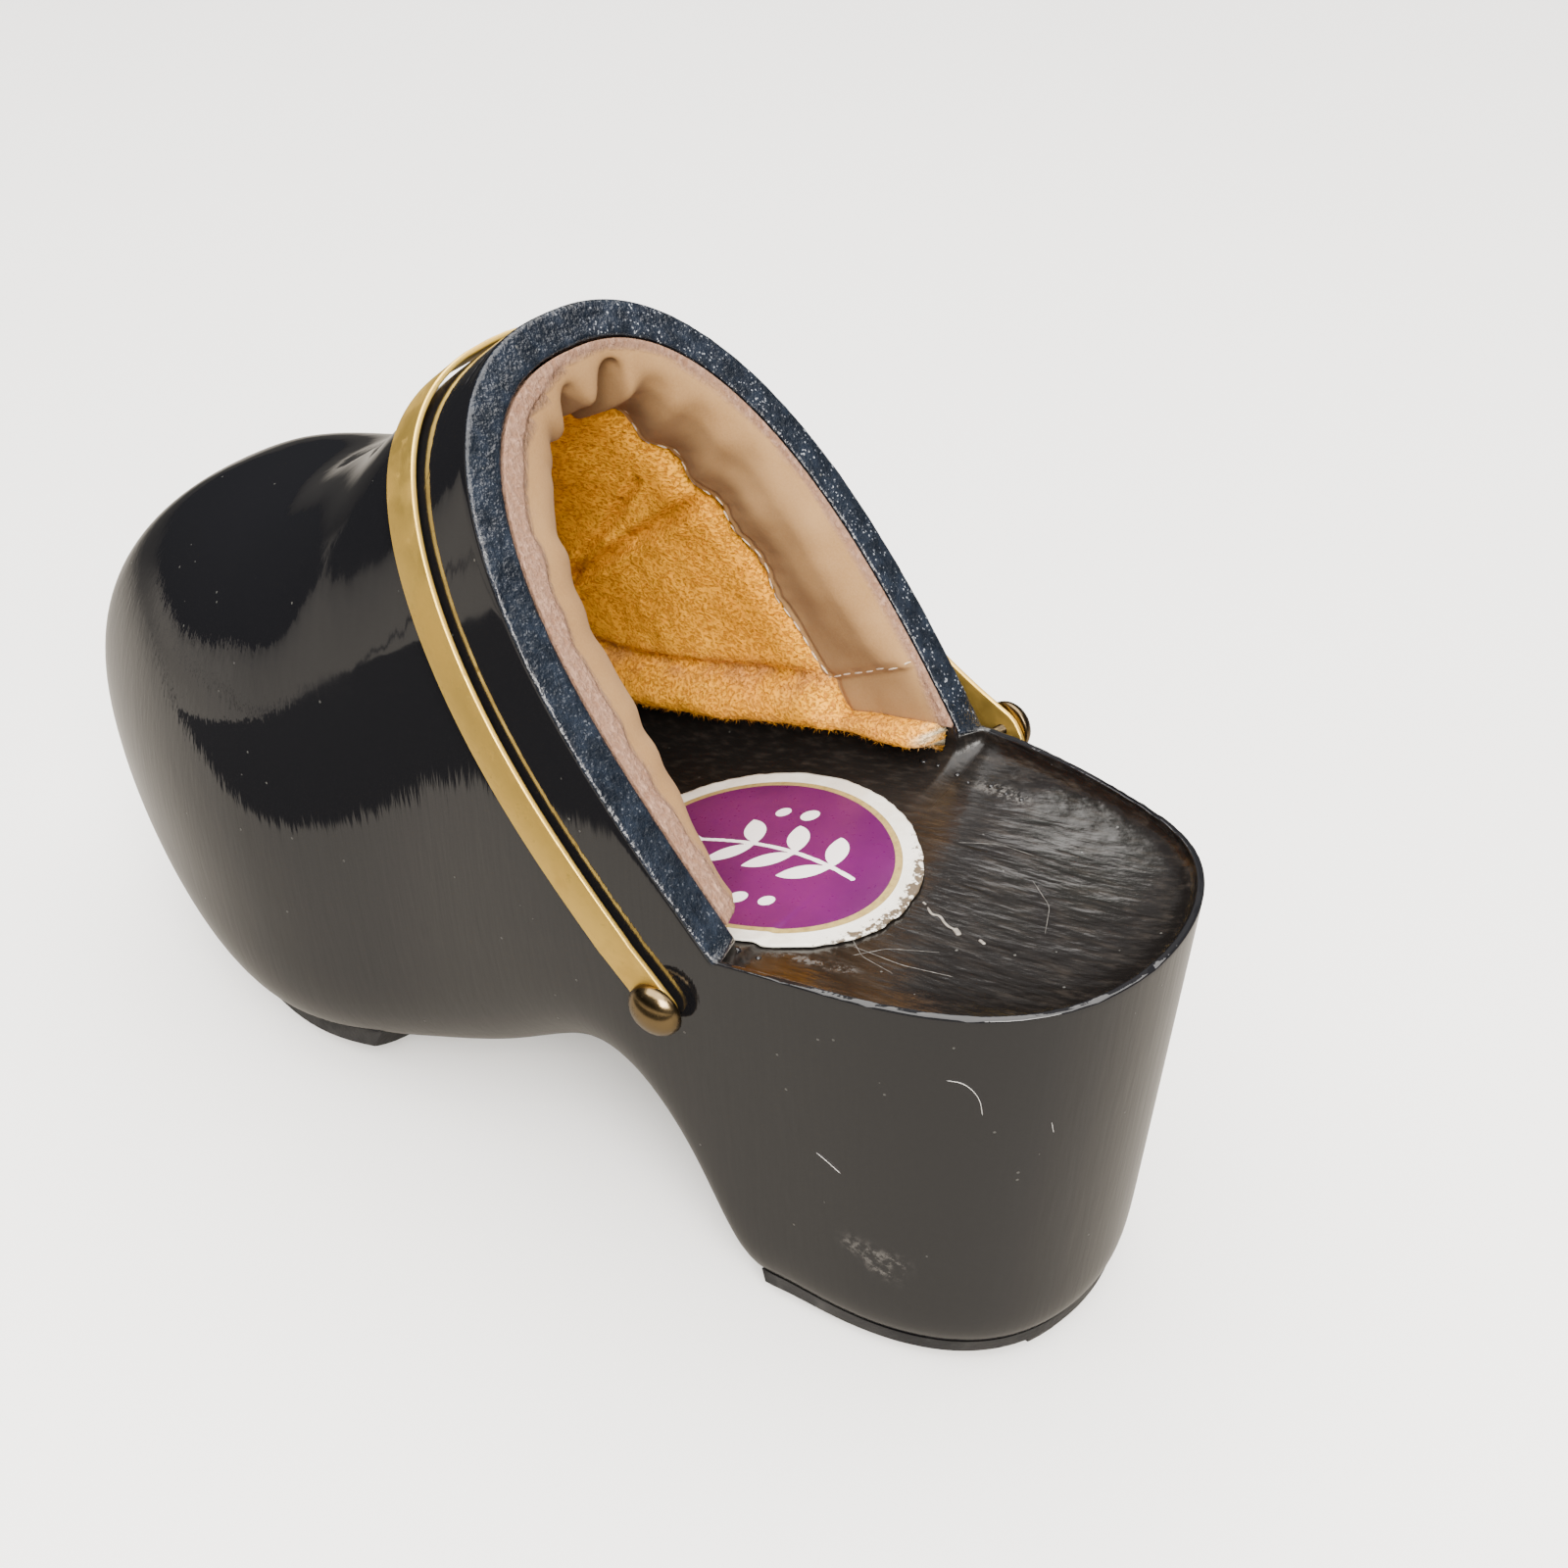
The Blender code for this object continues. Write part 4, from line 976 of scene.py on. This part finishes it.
def buildBand():
    runs = {name: bandRun(*row) for name, row in band["ends"].items()}
    centre, out, gaps = (np.concatenate([a, b[::-1]]) for a, b in zip(runs["left"][:3], runs["right"][:3]))
    run = runOf(centre)
    even = run[-1] * (1 - np.cos(np.linspace(0, np.pi, band["stations"]))) / 2
    even = 0.5 * even + 0.5 * np.linspace(0, run[-1], band["stations"])
    centre = evenly(centre, run, even)
    gaps = np.interp(even, run, gaps)[:, None, None]
    along = np.gradient(centre, axis=0)
    across = unit(np.cross(evenly(out, run, even), along))
    out = unit(np.cross(along, across))
    half, thick, corner = band["wide"] / 2, band["thick"], band["corner"]
    profile = []
    for sx, sz, start in ((1, 0, -90), (1, 1, 0), (-1, 1, 90), (-1, 0, 180)):
        for a in np.radians(np.linspace(start, start + 90, 5)):
            profile.append((sx * (half - corner) + corner * np.cos(a),
                            corner + sz * (thick - 2 * corner) + corner * np.sin(a)))
    profile = np.array(profile)
    ends = np.minimum(even, even[-1] - even)
    narrow = np.clip(edgeRound(ends, half), 0.02, 1)
    grid = (centre[:, None] + across[:, None] * profile[None, :, :1] * narrow[:, None, None]
            + out[:, None] * (profile[None, :, 1:] + gaps))
    columns, rows = grid.shape[:2]
    faces = gridFaces(columns, rows, ringed=True)
    faces.append(tuple(range(rows - 1, -1, -1)))
    faces.append(tuple((columns - 1) * rows + j for j in range(rows)))
    piece = meshPiece("bandStrip", grid.reshape(-1, 3), faces, brass, merge=0.001)
    rideOn(piece, "tarnished_brass", "brass_band")
    for name, row in runs.items():
        buildStud(name, *row[3])


def buildStud(name, seat, out, gap):
    headHeight = gap + band["thick"] + stud["seat"]
    neck, radius, lip = stud["neck"], stud["radius"], stud["lip"]
    root = -headHeight - stud["root"]
    profile = [(0.0, root), (neck, root), (neck, lip[0][1])] + [(radius - back, z) for back, z in lip]
    for a in np.radians(np.linspace(stud["domeStart"], 90, stud["domeRows"])):
        profile.append((radius * np.cos(a), blend(lip[-1][1], stud["rise"], np.sin(a))))
    side = unit(np.cross(out, (0, 0, 1.0)))
    other = np.cross(out, side)
    angles = np.linspace(2 * np.pi, 0, stud["sides"], endpoint=False)
    spokes = [np.cos(a) * side + np.sin(a) * other for a in angles]
    grid = np.array([[seat + r * spoke + (z + headHeight) * out for r, z in profile] for spoke in spokes])
    piece = gridPiece(f"{name}Stud", grid, oldBrass, merge=0.005, closed=True)
    rideOn(piece, "antique_brass", f"stud_{name}")


buildBand()
print("band and studs built")


# Rubber under heel and forefoot
def rubberPaint(tree, place):
    film = dusted(tree, place)[1]
    scuffs = place.noise(210.0, 5.0, 0.7).ramp(0.5, 0.72)
    colour = (scuffs * 0.5).mix((0.012, 0.012, 0.013), (0.06, 0.058, 0.055))
    colour = (film * 0.35).mix(colour, (0.10, 0.095, 0.09))
    return {"Base_Color": colour, "Roughness": scuffs * 0.25 + 0.45,
            "Normal": tree.bumps((place.noise(1300.0), 0.3, 0.0003))}


rubber = newMaterial("black_rubber", rubberPaint, Specular_IOR_Level=0.35)
sole = {"edge": -0.80, "toeEdge": -1.17, "toeEdgeStart": 190.0, "heelThick": 2.2, "foreThick": 3.2, "gap": 0.3,
        "heelEnd": 54.0, "foreStart": 150.0, "rows": 40, "lugHeight": 2.3, "lugInset": 8.0, "lugWidth": 7.0,
        "lugStarts": (19.0, 31.0, 43.0), "rearHalf": 15.0, "rearInset": 1.0, "lugSink": 0.6, "lugBevel": 0.35,
        "heelColumns": 90, "foreColumns": 110, "pole": 0.004, "crowding": 0.8, "round": 0.7, "sharp": 0.7}


def soleLayer(turns, edges, thick):
    lowest = under + sole["pole"]
    lifts = blend(lowest, edges, np.linspace(0, 1, sole["rows"])[:, None]**sole["crowding"])
    skin = surface(outer, turns[None], lifts)
    out = facing(outer, turns[None], lifts)
    top = skin + sole["gap"] * out
    reach = np.linalg.norm(skin[-1:] - skin, axis=2)
    depth = thick * edgeRound(reach, sole["round"]) * edgeRound(fromEnds(skin[-1]), sole["round"])
    low = top + depth[..., None] * out
    low[..., 2] = np.maximum(low[..., 2], 0.0)
    return np.concatenate([low, top[-2::-1]], axis=0).transpose(1, 0, 2), skin[-1]


def slab(corners, height):
    count = len(corners)
    bevel = sole["lugBevel"]
    middle = np.mean(corners, axis=0)
    small = [c + bevel * unit(middle - c) for c in corners]
    rings = ((corners, height), (corners, bevel), (small, 0.0))
    points = [(x, y, z) for ring, z in rings for x, y in ring]
    caps = [tuple(range(count))[::-1], tuple(2 * count + j for j in range(count))]
    return points, caps + gridFaces(len(rings), count, ringed=True)


def buildSoles():
    side = np.linspace(0, turnAt(sole["heelEnd"]), sole["heelColumns"])
    turns = np.concatenate([-side[:0:-1], side])
    grid, edge = soleLayer(turns, np.full_like(turns, sole["edge"]), sole["heelThick"])
    points = grid.reshape(-1, 3).tolist()
    faces = gridFaces(*grid.shape[:2])
    rear = [(x + sole["rearInset"], y) for x, y, z in edge[::4] if abs(y - last["heelShift"]) < sole["rearHalf"]]
    shapes = [rear + [(x + sole["lugWidth"], y) for x, y in reversed(rear)]]
    for start in sole["lugStarts"]:
        half = np.interp(start, *np.array(last["plan"], float).T[[0, 2]]) - sole["lugInset"]
        end = start + sole["lugWidth"]
        shapes.append([(start, -half), (start, half), (end, half), (end, -half)])
    for shape in shapes:
        morePoints, moreFaces = slab([np.array(c) for c in shape], sole["lugHeight"] + sole["lugSink"])
        faces += [tuple(i + len(points) for i in face) for face in moreFaces]
        points += morePoints
    heel = meshPiece("heelRubber", np.array(points), faces, rubber, merge=0.001)
    rideOn(heel, "black_rubber", "outsole_heel")
    side = np.linspace(turnAt(sole["foreStart"]), np.pi, sole["foreColumns"])
    turns = np.concatenate([side, 2 * np.pi - side[-2::-1]])
    ahead = np.clip((stationAt(turns) - sole["toeEdgeStart"]) / (length - sole["toeEdgeStart"]), 0, 1)
    grid, edge = soleLayer(turns, blend(sole["edge"], sole["toeEdge"], ahead), sole["foreThick"])
    fore = gridPiece("forefootRubber", grid, rubber, merge=0.001)
    rideOn(fore, "black_rubber", "outsole_forefoot")
    for piece in (heel, fore):
        piece.data.set_sharp_from_angle(angle=sole["sharp"])


buildSoles()
print("soles built")

# Label: a thin oval print on the seat with a plain leaf sprig
# Leaf rows are (share along the stem, side), berry rows (x, y, radius).
label = {"centre": (78.4, 3.2), "radii": (35.8, 24.8), "turn": -22.0, "gap": 0.3, "thick": 0.4, "rings": 72,
         "sides": 288, "stem": [(-21.0, -6.0), (-9.0, -4.5), (3.0, -1.0), (15.0, 5.0)], "stemWide": 0.5,
         "leafLong": 9.4, "leafWide": 4.1, "leafLean": 0.85, "fray": [(0.35, 2.5, 8.0)], "frayFrom": 0.97,
         "fraySpan": 28.0, "wornTurn": 0.35, "wornFrom": 0.78, "wornSpan": 0.2,
         "leaves": [(0.16, 1), (0.16, -1), (0.42, 1), (0.42, -1), (0.68, 1), (0.68, -1), (0.98, 0)],
         "berries": [(-16.0, 8.0, 1.5), (-11.0, 10.8, 1.8), (-5.2, 12.4, 1.5), (9.0, -10.5, 1.5),
                     (3.4, -12.8, 1.8)]}


def labelPaint(tree, place):
    ring, worn, ink = (tree.mark(name) for name in ("ring", "worn", "inkDepth"))
    crumbs = place.noise(750.0, 5.0, 0.7)
    purple = place.noise(50.0).ramp(0.3, 0.7).mix((0.072, 0.003, 0.062), (0.098, 0.004, 0.082))
    gold = crumbs.ramp(0.4, 0.7).mix((0.36, 0.26, 0.09), (0.24, 0.17, 0.06))
    cream = place.noise(160.0, 4.0).ramp(0.35, 0.7).mix((0.80, 0.77, 0.70), (0.68, 0.63, 0.54))
    colour = (ring > 0.88).mix((ring > 0.835).mix(purple, gold), cream)
    colour = (ink > 0.0).mix(colour, (0.84, 0.80, 0.79))
    colour = (worn * crumbs > 0.44).mix(colour, (0.10, 0.075, 0.05))
    wrinkles = tree.bumps((place.noise(180.0), 0.12, 0.0005), (crumbs * worn, 0.6, 0.0005))
    return {"Base_Color": colour, "Roughness": crumbs * 0.2 + 0.2, "Normal": wrinkles}


printPaper = newMaterial("printed_label", labelPaint, Specular_IOR_Level=0.3, Coat_Weight=0.15,
                         Coat_Roughness=0.15)
seatTree = BVHTree.FromObject(shellBody, bpy.context.evaluated_depsgraph_get())


def onSeat(xy, rise):
    points = []
    for x, y in xy:
        start = placed((x, y, 0.0))
        start[2] = floorLine(x) * 0.001 + 0.012
        spot = seatTree.ray_cast(Vector(start), Vector((0, 0, -1)))[0]
        points.append((x, y, spot[2] * 1000 + rise))
    return np.array(points)


labelTurn = np.radians(label["turn"])
labelAxes = np.array([[np.cos(labelTurn), np.sin(labelTurn)], [-np.sin(labelTurn), np.cos(labelTurn)]])


# How deep a spot of the label lies inside the white sprig: below zero is outside it.
def inkDepth(spots):
    xy = (spots - label["centre"]) @ labelAxes.T
    bends = np.array(label["stem"])
    knots = np.linspace(0, 1, len(bends))
    share = np.linspace(0, 1, 60)
    stem = np.stack([np.polyval(np.polyfit(knots, bends[:, i], 3), share) for i in (0, 1)], -1)
    depth = label["stemWide"] - np.linalg.norm(xy[:, None] - stem[None], axis=2).min(1)
    half, wide = label["leafLong"] / 2, label["leafWide"] / 2
    arc = (half**2 + wide**2) / (2 * wide)
    for at, side in label["leaves"]:
        k = int(at * (len(share) - 2))
        ahead = stem[k + 1] - stem[k]
        lean = np.arctan2(ahead[1], ahead[0]) + side * label["leafLean"]
        along = np.array([np.cos(lean), np.sin(lean)])
        rel = xy - stem[k] - along * (half + 0.5)
        u = rel @ along
        v = np.abs(rel @ np.array([-along[1], along[0]]))
        depth = np.maximum(depth, arc - np.hypot(u, v + arc - wide))
    for x, y, radius in label["berries"]:
        depth = np.maximum(depth, radius - np.hypot(xy[:, 0] - x, xy[:, 1] - y))
    return depth


def buildLabel():
    shares = np.linspace(0, 1, label["rings"])
    angles = np.linspace(0, 2 * np.pi, label["sides"], endpoint=False)
    centre, radii = np.array(label["centre"]), np.array(label["radii"])
    xy = [centre + radii * s * np.array([np.cos(a), np.sin(a)]) @ labelAxes for a in angles for s in shares]
    top = onSeat(xy, label["gap"] + label["thick"]).reshape(label["sides"], label["rings"], 3)
    frayed = lumps(top, label["fray"]) * (shares > label["frayFrom"])
    top += frayed[..., None] * (top - top[:, :1]) / label["fraySpan"]
    low = top[:, -1:] - np.array([0, 0, label["thick"]])
    grid = np.concatenate([top, low], axis=1)
    ring = np.tile(np.append(shares, 1.0), label["sides"])
    back = np.repeat(np.clip(-np.cos(angles - label["wornTurn"]), 0, 1), label["rings"] + 1)
    worn = back * np.clip((ring - label["wornFrom"]) / label["wornSpan"], 0, 1)
    marks = {"ring": ring, "worn": worn, "inkDepth": inkDepth(grid.reshape(-1, 3)[:, :2])}
    piece = gridPiece("seatLabel", grid, printPaper, marks, 0.002, closed=True, turned=True)
    rideOn(piece, "printed_label", "heel_label")


buildLabel()
print("label built")


# Marks of use: dried glue and scratches on the seat, beads of lacquer along its right rim, lint on the heel.
# Glue and scratch rows are (half width, points in plan), lint rows (half width, points) and bead rows
# (x, y, radius).
wear = {"glue": [(0.24, (41.5, 6.0), (39.6, 7.6), (38.4, 7.0), (36.2, 8.9), (33.9, 9.3)),
                 (0.5, (34.4, 9.0), (32.8, 10.2)), (0.3, (29.4, 9.8), (28.0, 10.4)),
                 (0.2, (42.8, 5.2), (42.0, 5.6))],
        "scratches": [(0.06, (46.2, 20.9), (36.3, 21.5), (27.6, 20.2)),
                      (0.05, (44.6, 23.2), (40.8, 18.8), (32.9, 15.6)),
                      (0.05, (50.0, 17.0), (43.0, 22.6), (36.0, 24.2)),
                      (0.04, (30.0, -8.0), (24.0, -3.0), (21.0, 4.0)),
                      (0.04, (47.0, -12.0), (40.0, -14.5), (33.0, -14.0))],
        "beads": [(66.0, -31.0, 0.7), (62.5, -30.4, 0.45), (58.0, -29.9, 0.55), (54.8, -28.4, 0.35),
                  (50.2, -28.6, 0.5), (46.4, -27.4, 0.4), (43.0, -26.8, 0.5), (60.0, 33.0, 0.8),
                  (57.2, 31.0, 0.5)],
        "lint": [(0.045, (20.4, 33.4, 74.3), (17.8, 32.2, 74.3), (15.8, 30.9, 71.3), (15.3, 30.5, 67.3)),
                 (0.04, (41.0, 37.6, 48.3), (38.9, 37.3, 47.1), (36.6, 36.9, 45.5)),
                 (0.045, (7.4, 23.0, 64.4), (7.1, 22.5, 61.9))],
        "lintOff": (-0.08, 0.12, 0.0), "steps": 24, "sides": 8, "tip": 4.0, "beadRows": 9, "beadSides": 14,
        "beadSquash": 0.55}


def dirtMaterial(name, low, high, rough):
    def paint(tree, place):
        return {"Base_Color": place.noise(900.0, 4.0).ramp(0.35, 0.7).mix(low, high)}

    return newMaterial(name, paint, Roughness=rough)


def strand(path, radius, squash=1.0):
    run = np.asarray(path, float)
    for _ in range(3):
        cut = np.stack([blend(run[:-1], run[1:], 0.25), blend(run[:-1], run[1:], 0.75)], 1).reshape(-1, 3)
        run = np.concatenate([run[:1], cut, run[-1:]])
    run = resampled(run, wear["steps"])
    ahead = np.gradient(run, axis=0)
    side = unit(np.cross(ahead, (0.0, 0.0, 1.0)) + np.array([1e-6, 0, 0]))
    rise = np.cross(side, unit(ahead))
    spot = np.arange(len(run))
    taper = radius * edgeRound(np.minimum(spot, spot[::-1]), wear["tip"])
    turn = np.linspace(0, 2 * np.pi, wear["sides"], endpoint=False)[:, None, None]
    return run + taper[:, None] * (np.cos(turn) * side + squash * np.sin(turn) * rise)


def bead(centre, radius):
    lift = np.linspace(over, under, wear["beadRows"])[None, :, None]
    turn = np.linspace(0, 2 * np.pi, wear["beadSides"], endpoint=False)[:, None, None]
    rise = wear["beadSquash"] * np.sin(lift) + 0 * turn
    ball = np.concatenate([np.cos(lift) * np.cos(turn), np.cos(lift) * np.sin(turn), rise], 2)
    return np.array(centre) + radius * ball


def buildWear():
    glue = [strand(onSeat(row[1:], 0.0), row[0], 0.5) for row in wear["glue"]]
    lines = [strand(onSeat(resampled(np.pad(row[1:], ((0, 0), (0, 1))), 12)[:, :2], 0.02), row[0], 0.4)
             for row in wear["scratches"]]
    lint = [strand(np.add(row[1:], wear["lintOff"]), row[0]) for row in wear["lint"]]
    beads = [bead(onSeat([row[:2]], 0.0)[0], row[2]) for row in wear["beads"]]
    chalk = dirtMaterial("dried_glue", (0.17, 0.155, 0.135), (0.33, 0.30, 0.265), 0.4)
    fluff = dirtMaterial("pale_lint", (0.62, 0.60, 0.57), (0.80, 0.78, 0.75), 0.8)
    worn = dirtMaterial("worn_line", (0.07, 0.066, 0.06), (0.20, 0.19, 0.175), 0.6)
    for name, grids, material in (("driedGlue", glue, chalk), ("seatScratches", lines, worn),
                                  ("lintHairs", lint, fluff), ("lacquerBeads", beads, lacquer)):
        piece = meshPiece(name, *joined([(grid, True) for grid in grids]), material, None, 0.002)
        rideOn(piece, "black_lacquer")


buildWear()
print("marks of use laid")

# Stage: soft lights and a floor that is pale to the eye. What the lacquer mirrors of the floor is warmer, with a
# dark mat on the left, and fades to painted shade away from the shoe, most on its right. Light rows are (place,
# target, size, power, colour).
stage = {"mat": (-2.0, 0.36, 0.155, 0.37), "line": 0.006, "soft": 0.004, "mirrored": (0.235, 0.218, 0.193),
         "farShares": (0.06, 0.95), "dark": (0.012, 0.012, 0.013), "pale": (0.97, 0.965, 0.955), "sky": 1.3,
         "lights": {"overhead": ((0.25, 0.0, 3.75), (0.05, 0, 0), (6.5, 5.5), 740, (1.0, 0.97, 0.93)),
                    "key": ((-0.9, 0.75, 0.95), (0, 0, 0.06), (0.9, 0.7), 56, (1.0, 0.96, 0.90)),
                    "window": ((0.9, -1.2, 1.1), (0, 0, 0.08), (1.0, 0.8), 0.7, (1.0, 0.96, 0.92))}}


def matMask(x, y):
    left, right, near, far = stage["mat"]
    soft, line = stage["soft"], stage["line"]

    def within(value, low, high):
        return value.ramp(low - soft, low + soft) * (1.0 - value.ramp(high - soft, high + soft))

    edges = within(y, near, near + line) | within(y, far - line, far + line)
    return within(x, left, right) * within(y, near, far) | edges


def floorPaint(tree, place):
    x, y = place.axis(0), place.axis(1)
    away = tree.get("ShaderNodeVectorMath", {0: place}, "Value", operation="LENGTH")
    # Painted shade in the mirrored floor: darker far from the shoe, darkest on the right.
    far = y.ramp(-0.1, 0.40).mix(*(tuple(share * v for v in stage["mirrored"]) for share in stage["farShares"]))
    mirroredFade = away.ramp(0.28, 0.80).mix(stage["mirrored"], far)
    mirrored = matMask(x, y).mix(mirroredFade, stage["dark"])
    pale = place.noise(3.0).ramp(0.3, 0.7).mix(stage["pale"], tuple(0.985 * v for v in stage["pale"]))
    return {"Base_Color": tree.seen().mix(mirrored, pale)}


def buildStage():
    mesh = bpy.data.meshes.new("floor")
    mesh.from_pydata([(-4, -4, 0), (4, -4, 0), (4, 4, 0), (-4, 4, 0)], [], [(0, 1, 2, 3)])
    mesh.materials.append(newMaterial("pale_floor", floorPaint, Roughness=0.85, Specular_IOR_Level=0.2))
    ground = linked("floor", mesh)
    world = bpy.data.worlds.new("studio")
    world.use_nodes = True
    sky = Tree(world.node_tree)
    rise = sky.get("ShaderNodeTexCoord", output="Generated").axis(2)
    walls = rise.ramp(0.30, 0.60).mix((0.03, 0.032, 0.036), (0.19, 0.196, 0.208))
    sky.feed(world.node_tree.nodes["Background"], Color=sky.seen().mix(walls, (stage["sky"],) * 3))
    bpy.context.scene.world = world
    for name, (place, target, size, power, colour) in stage["lights"].items():
        data = bpy.data.lights.new(name, "AREA")
        data.shape = "RECTANGLE"
        data.size, data.size_y = size
        data.energy = power
        data.color = colour
        thing = linked(name, data)
        thing.location = place
        thing.rotation_euler = (Vector(target) - Vector(place)).to_track_quat("-Z", "Y").to_euler()
        thing.visible_camera = False


buildStage()
print("stage set")
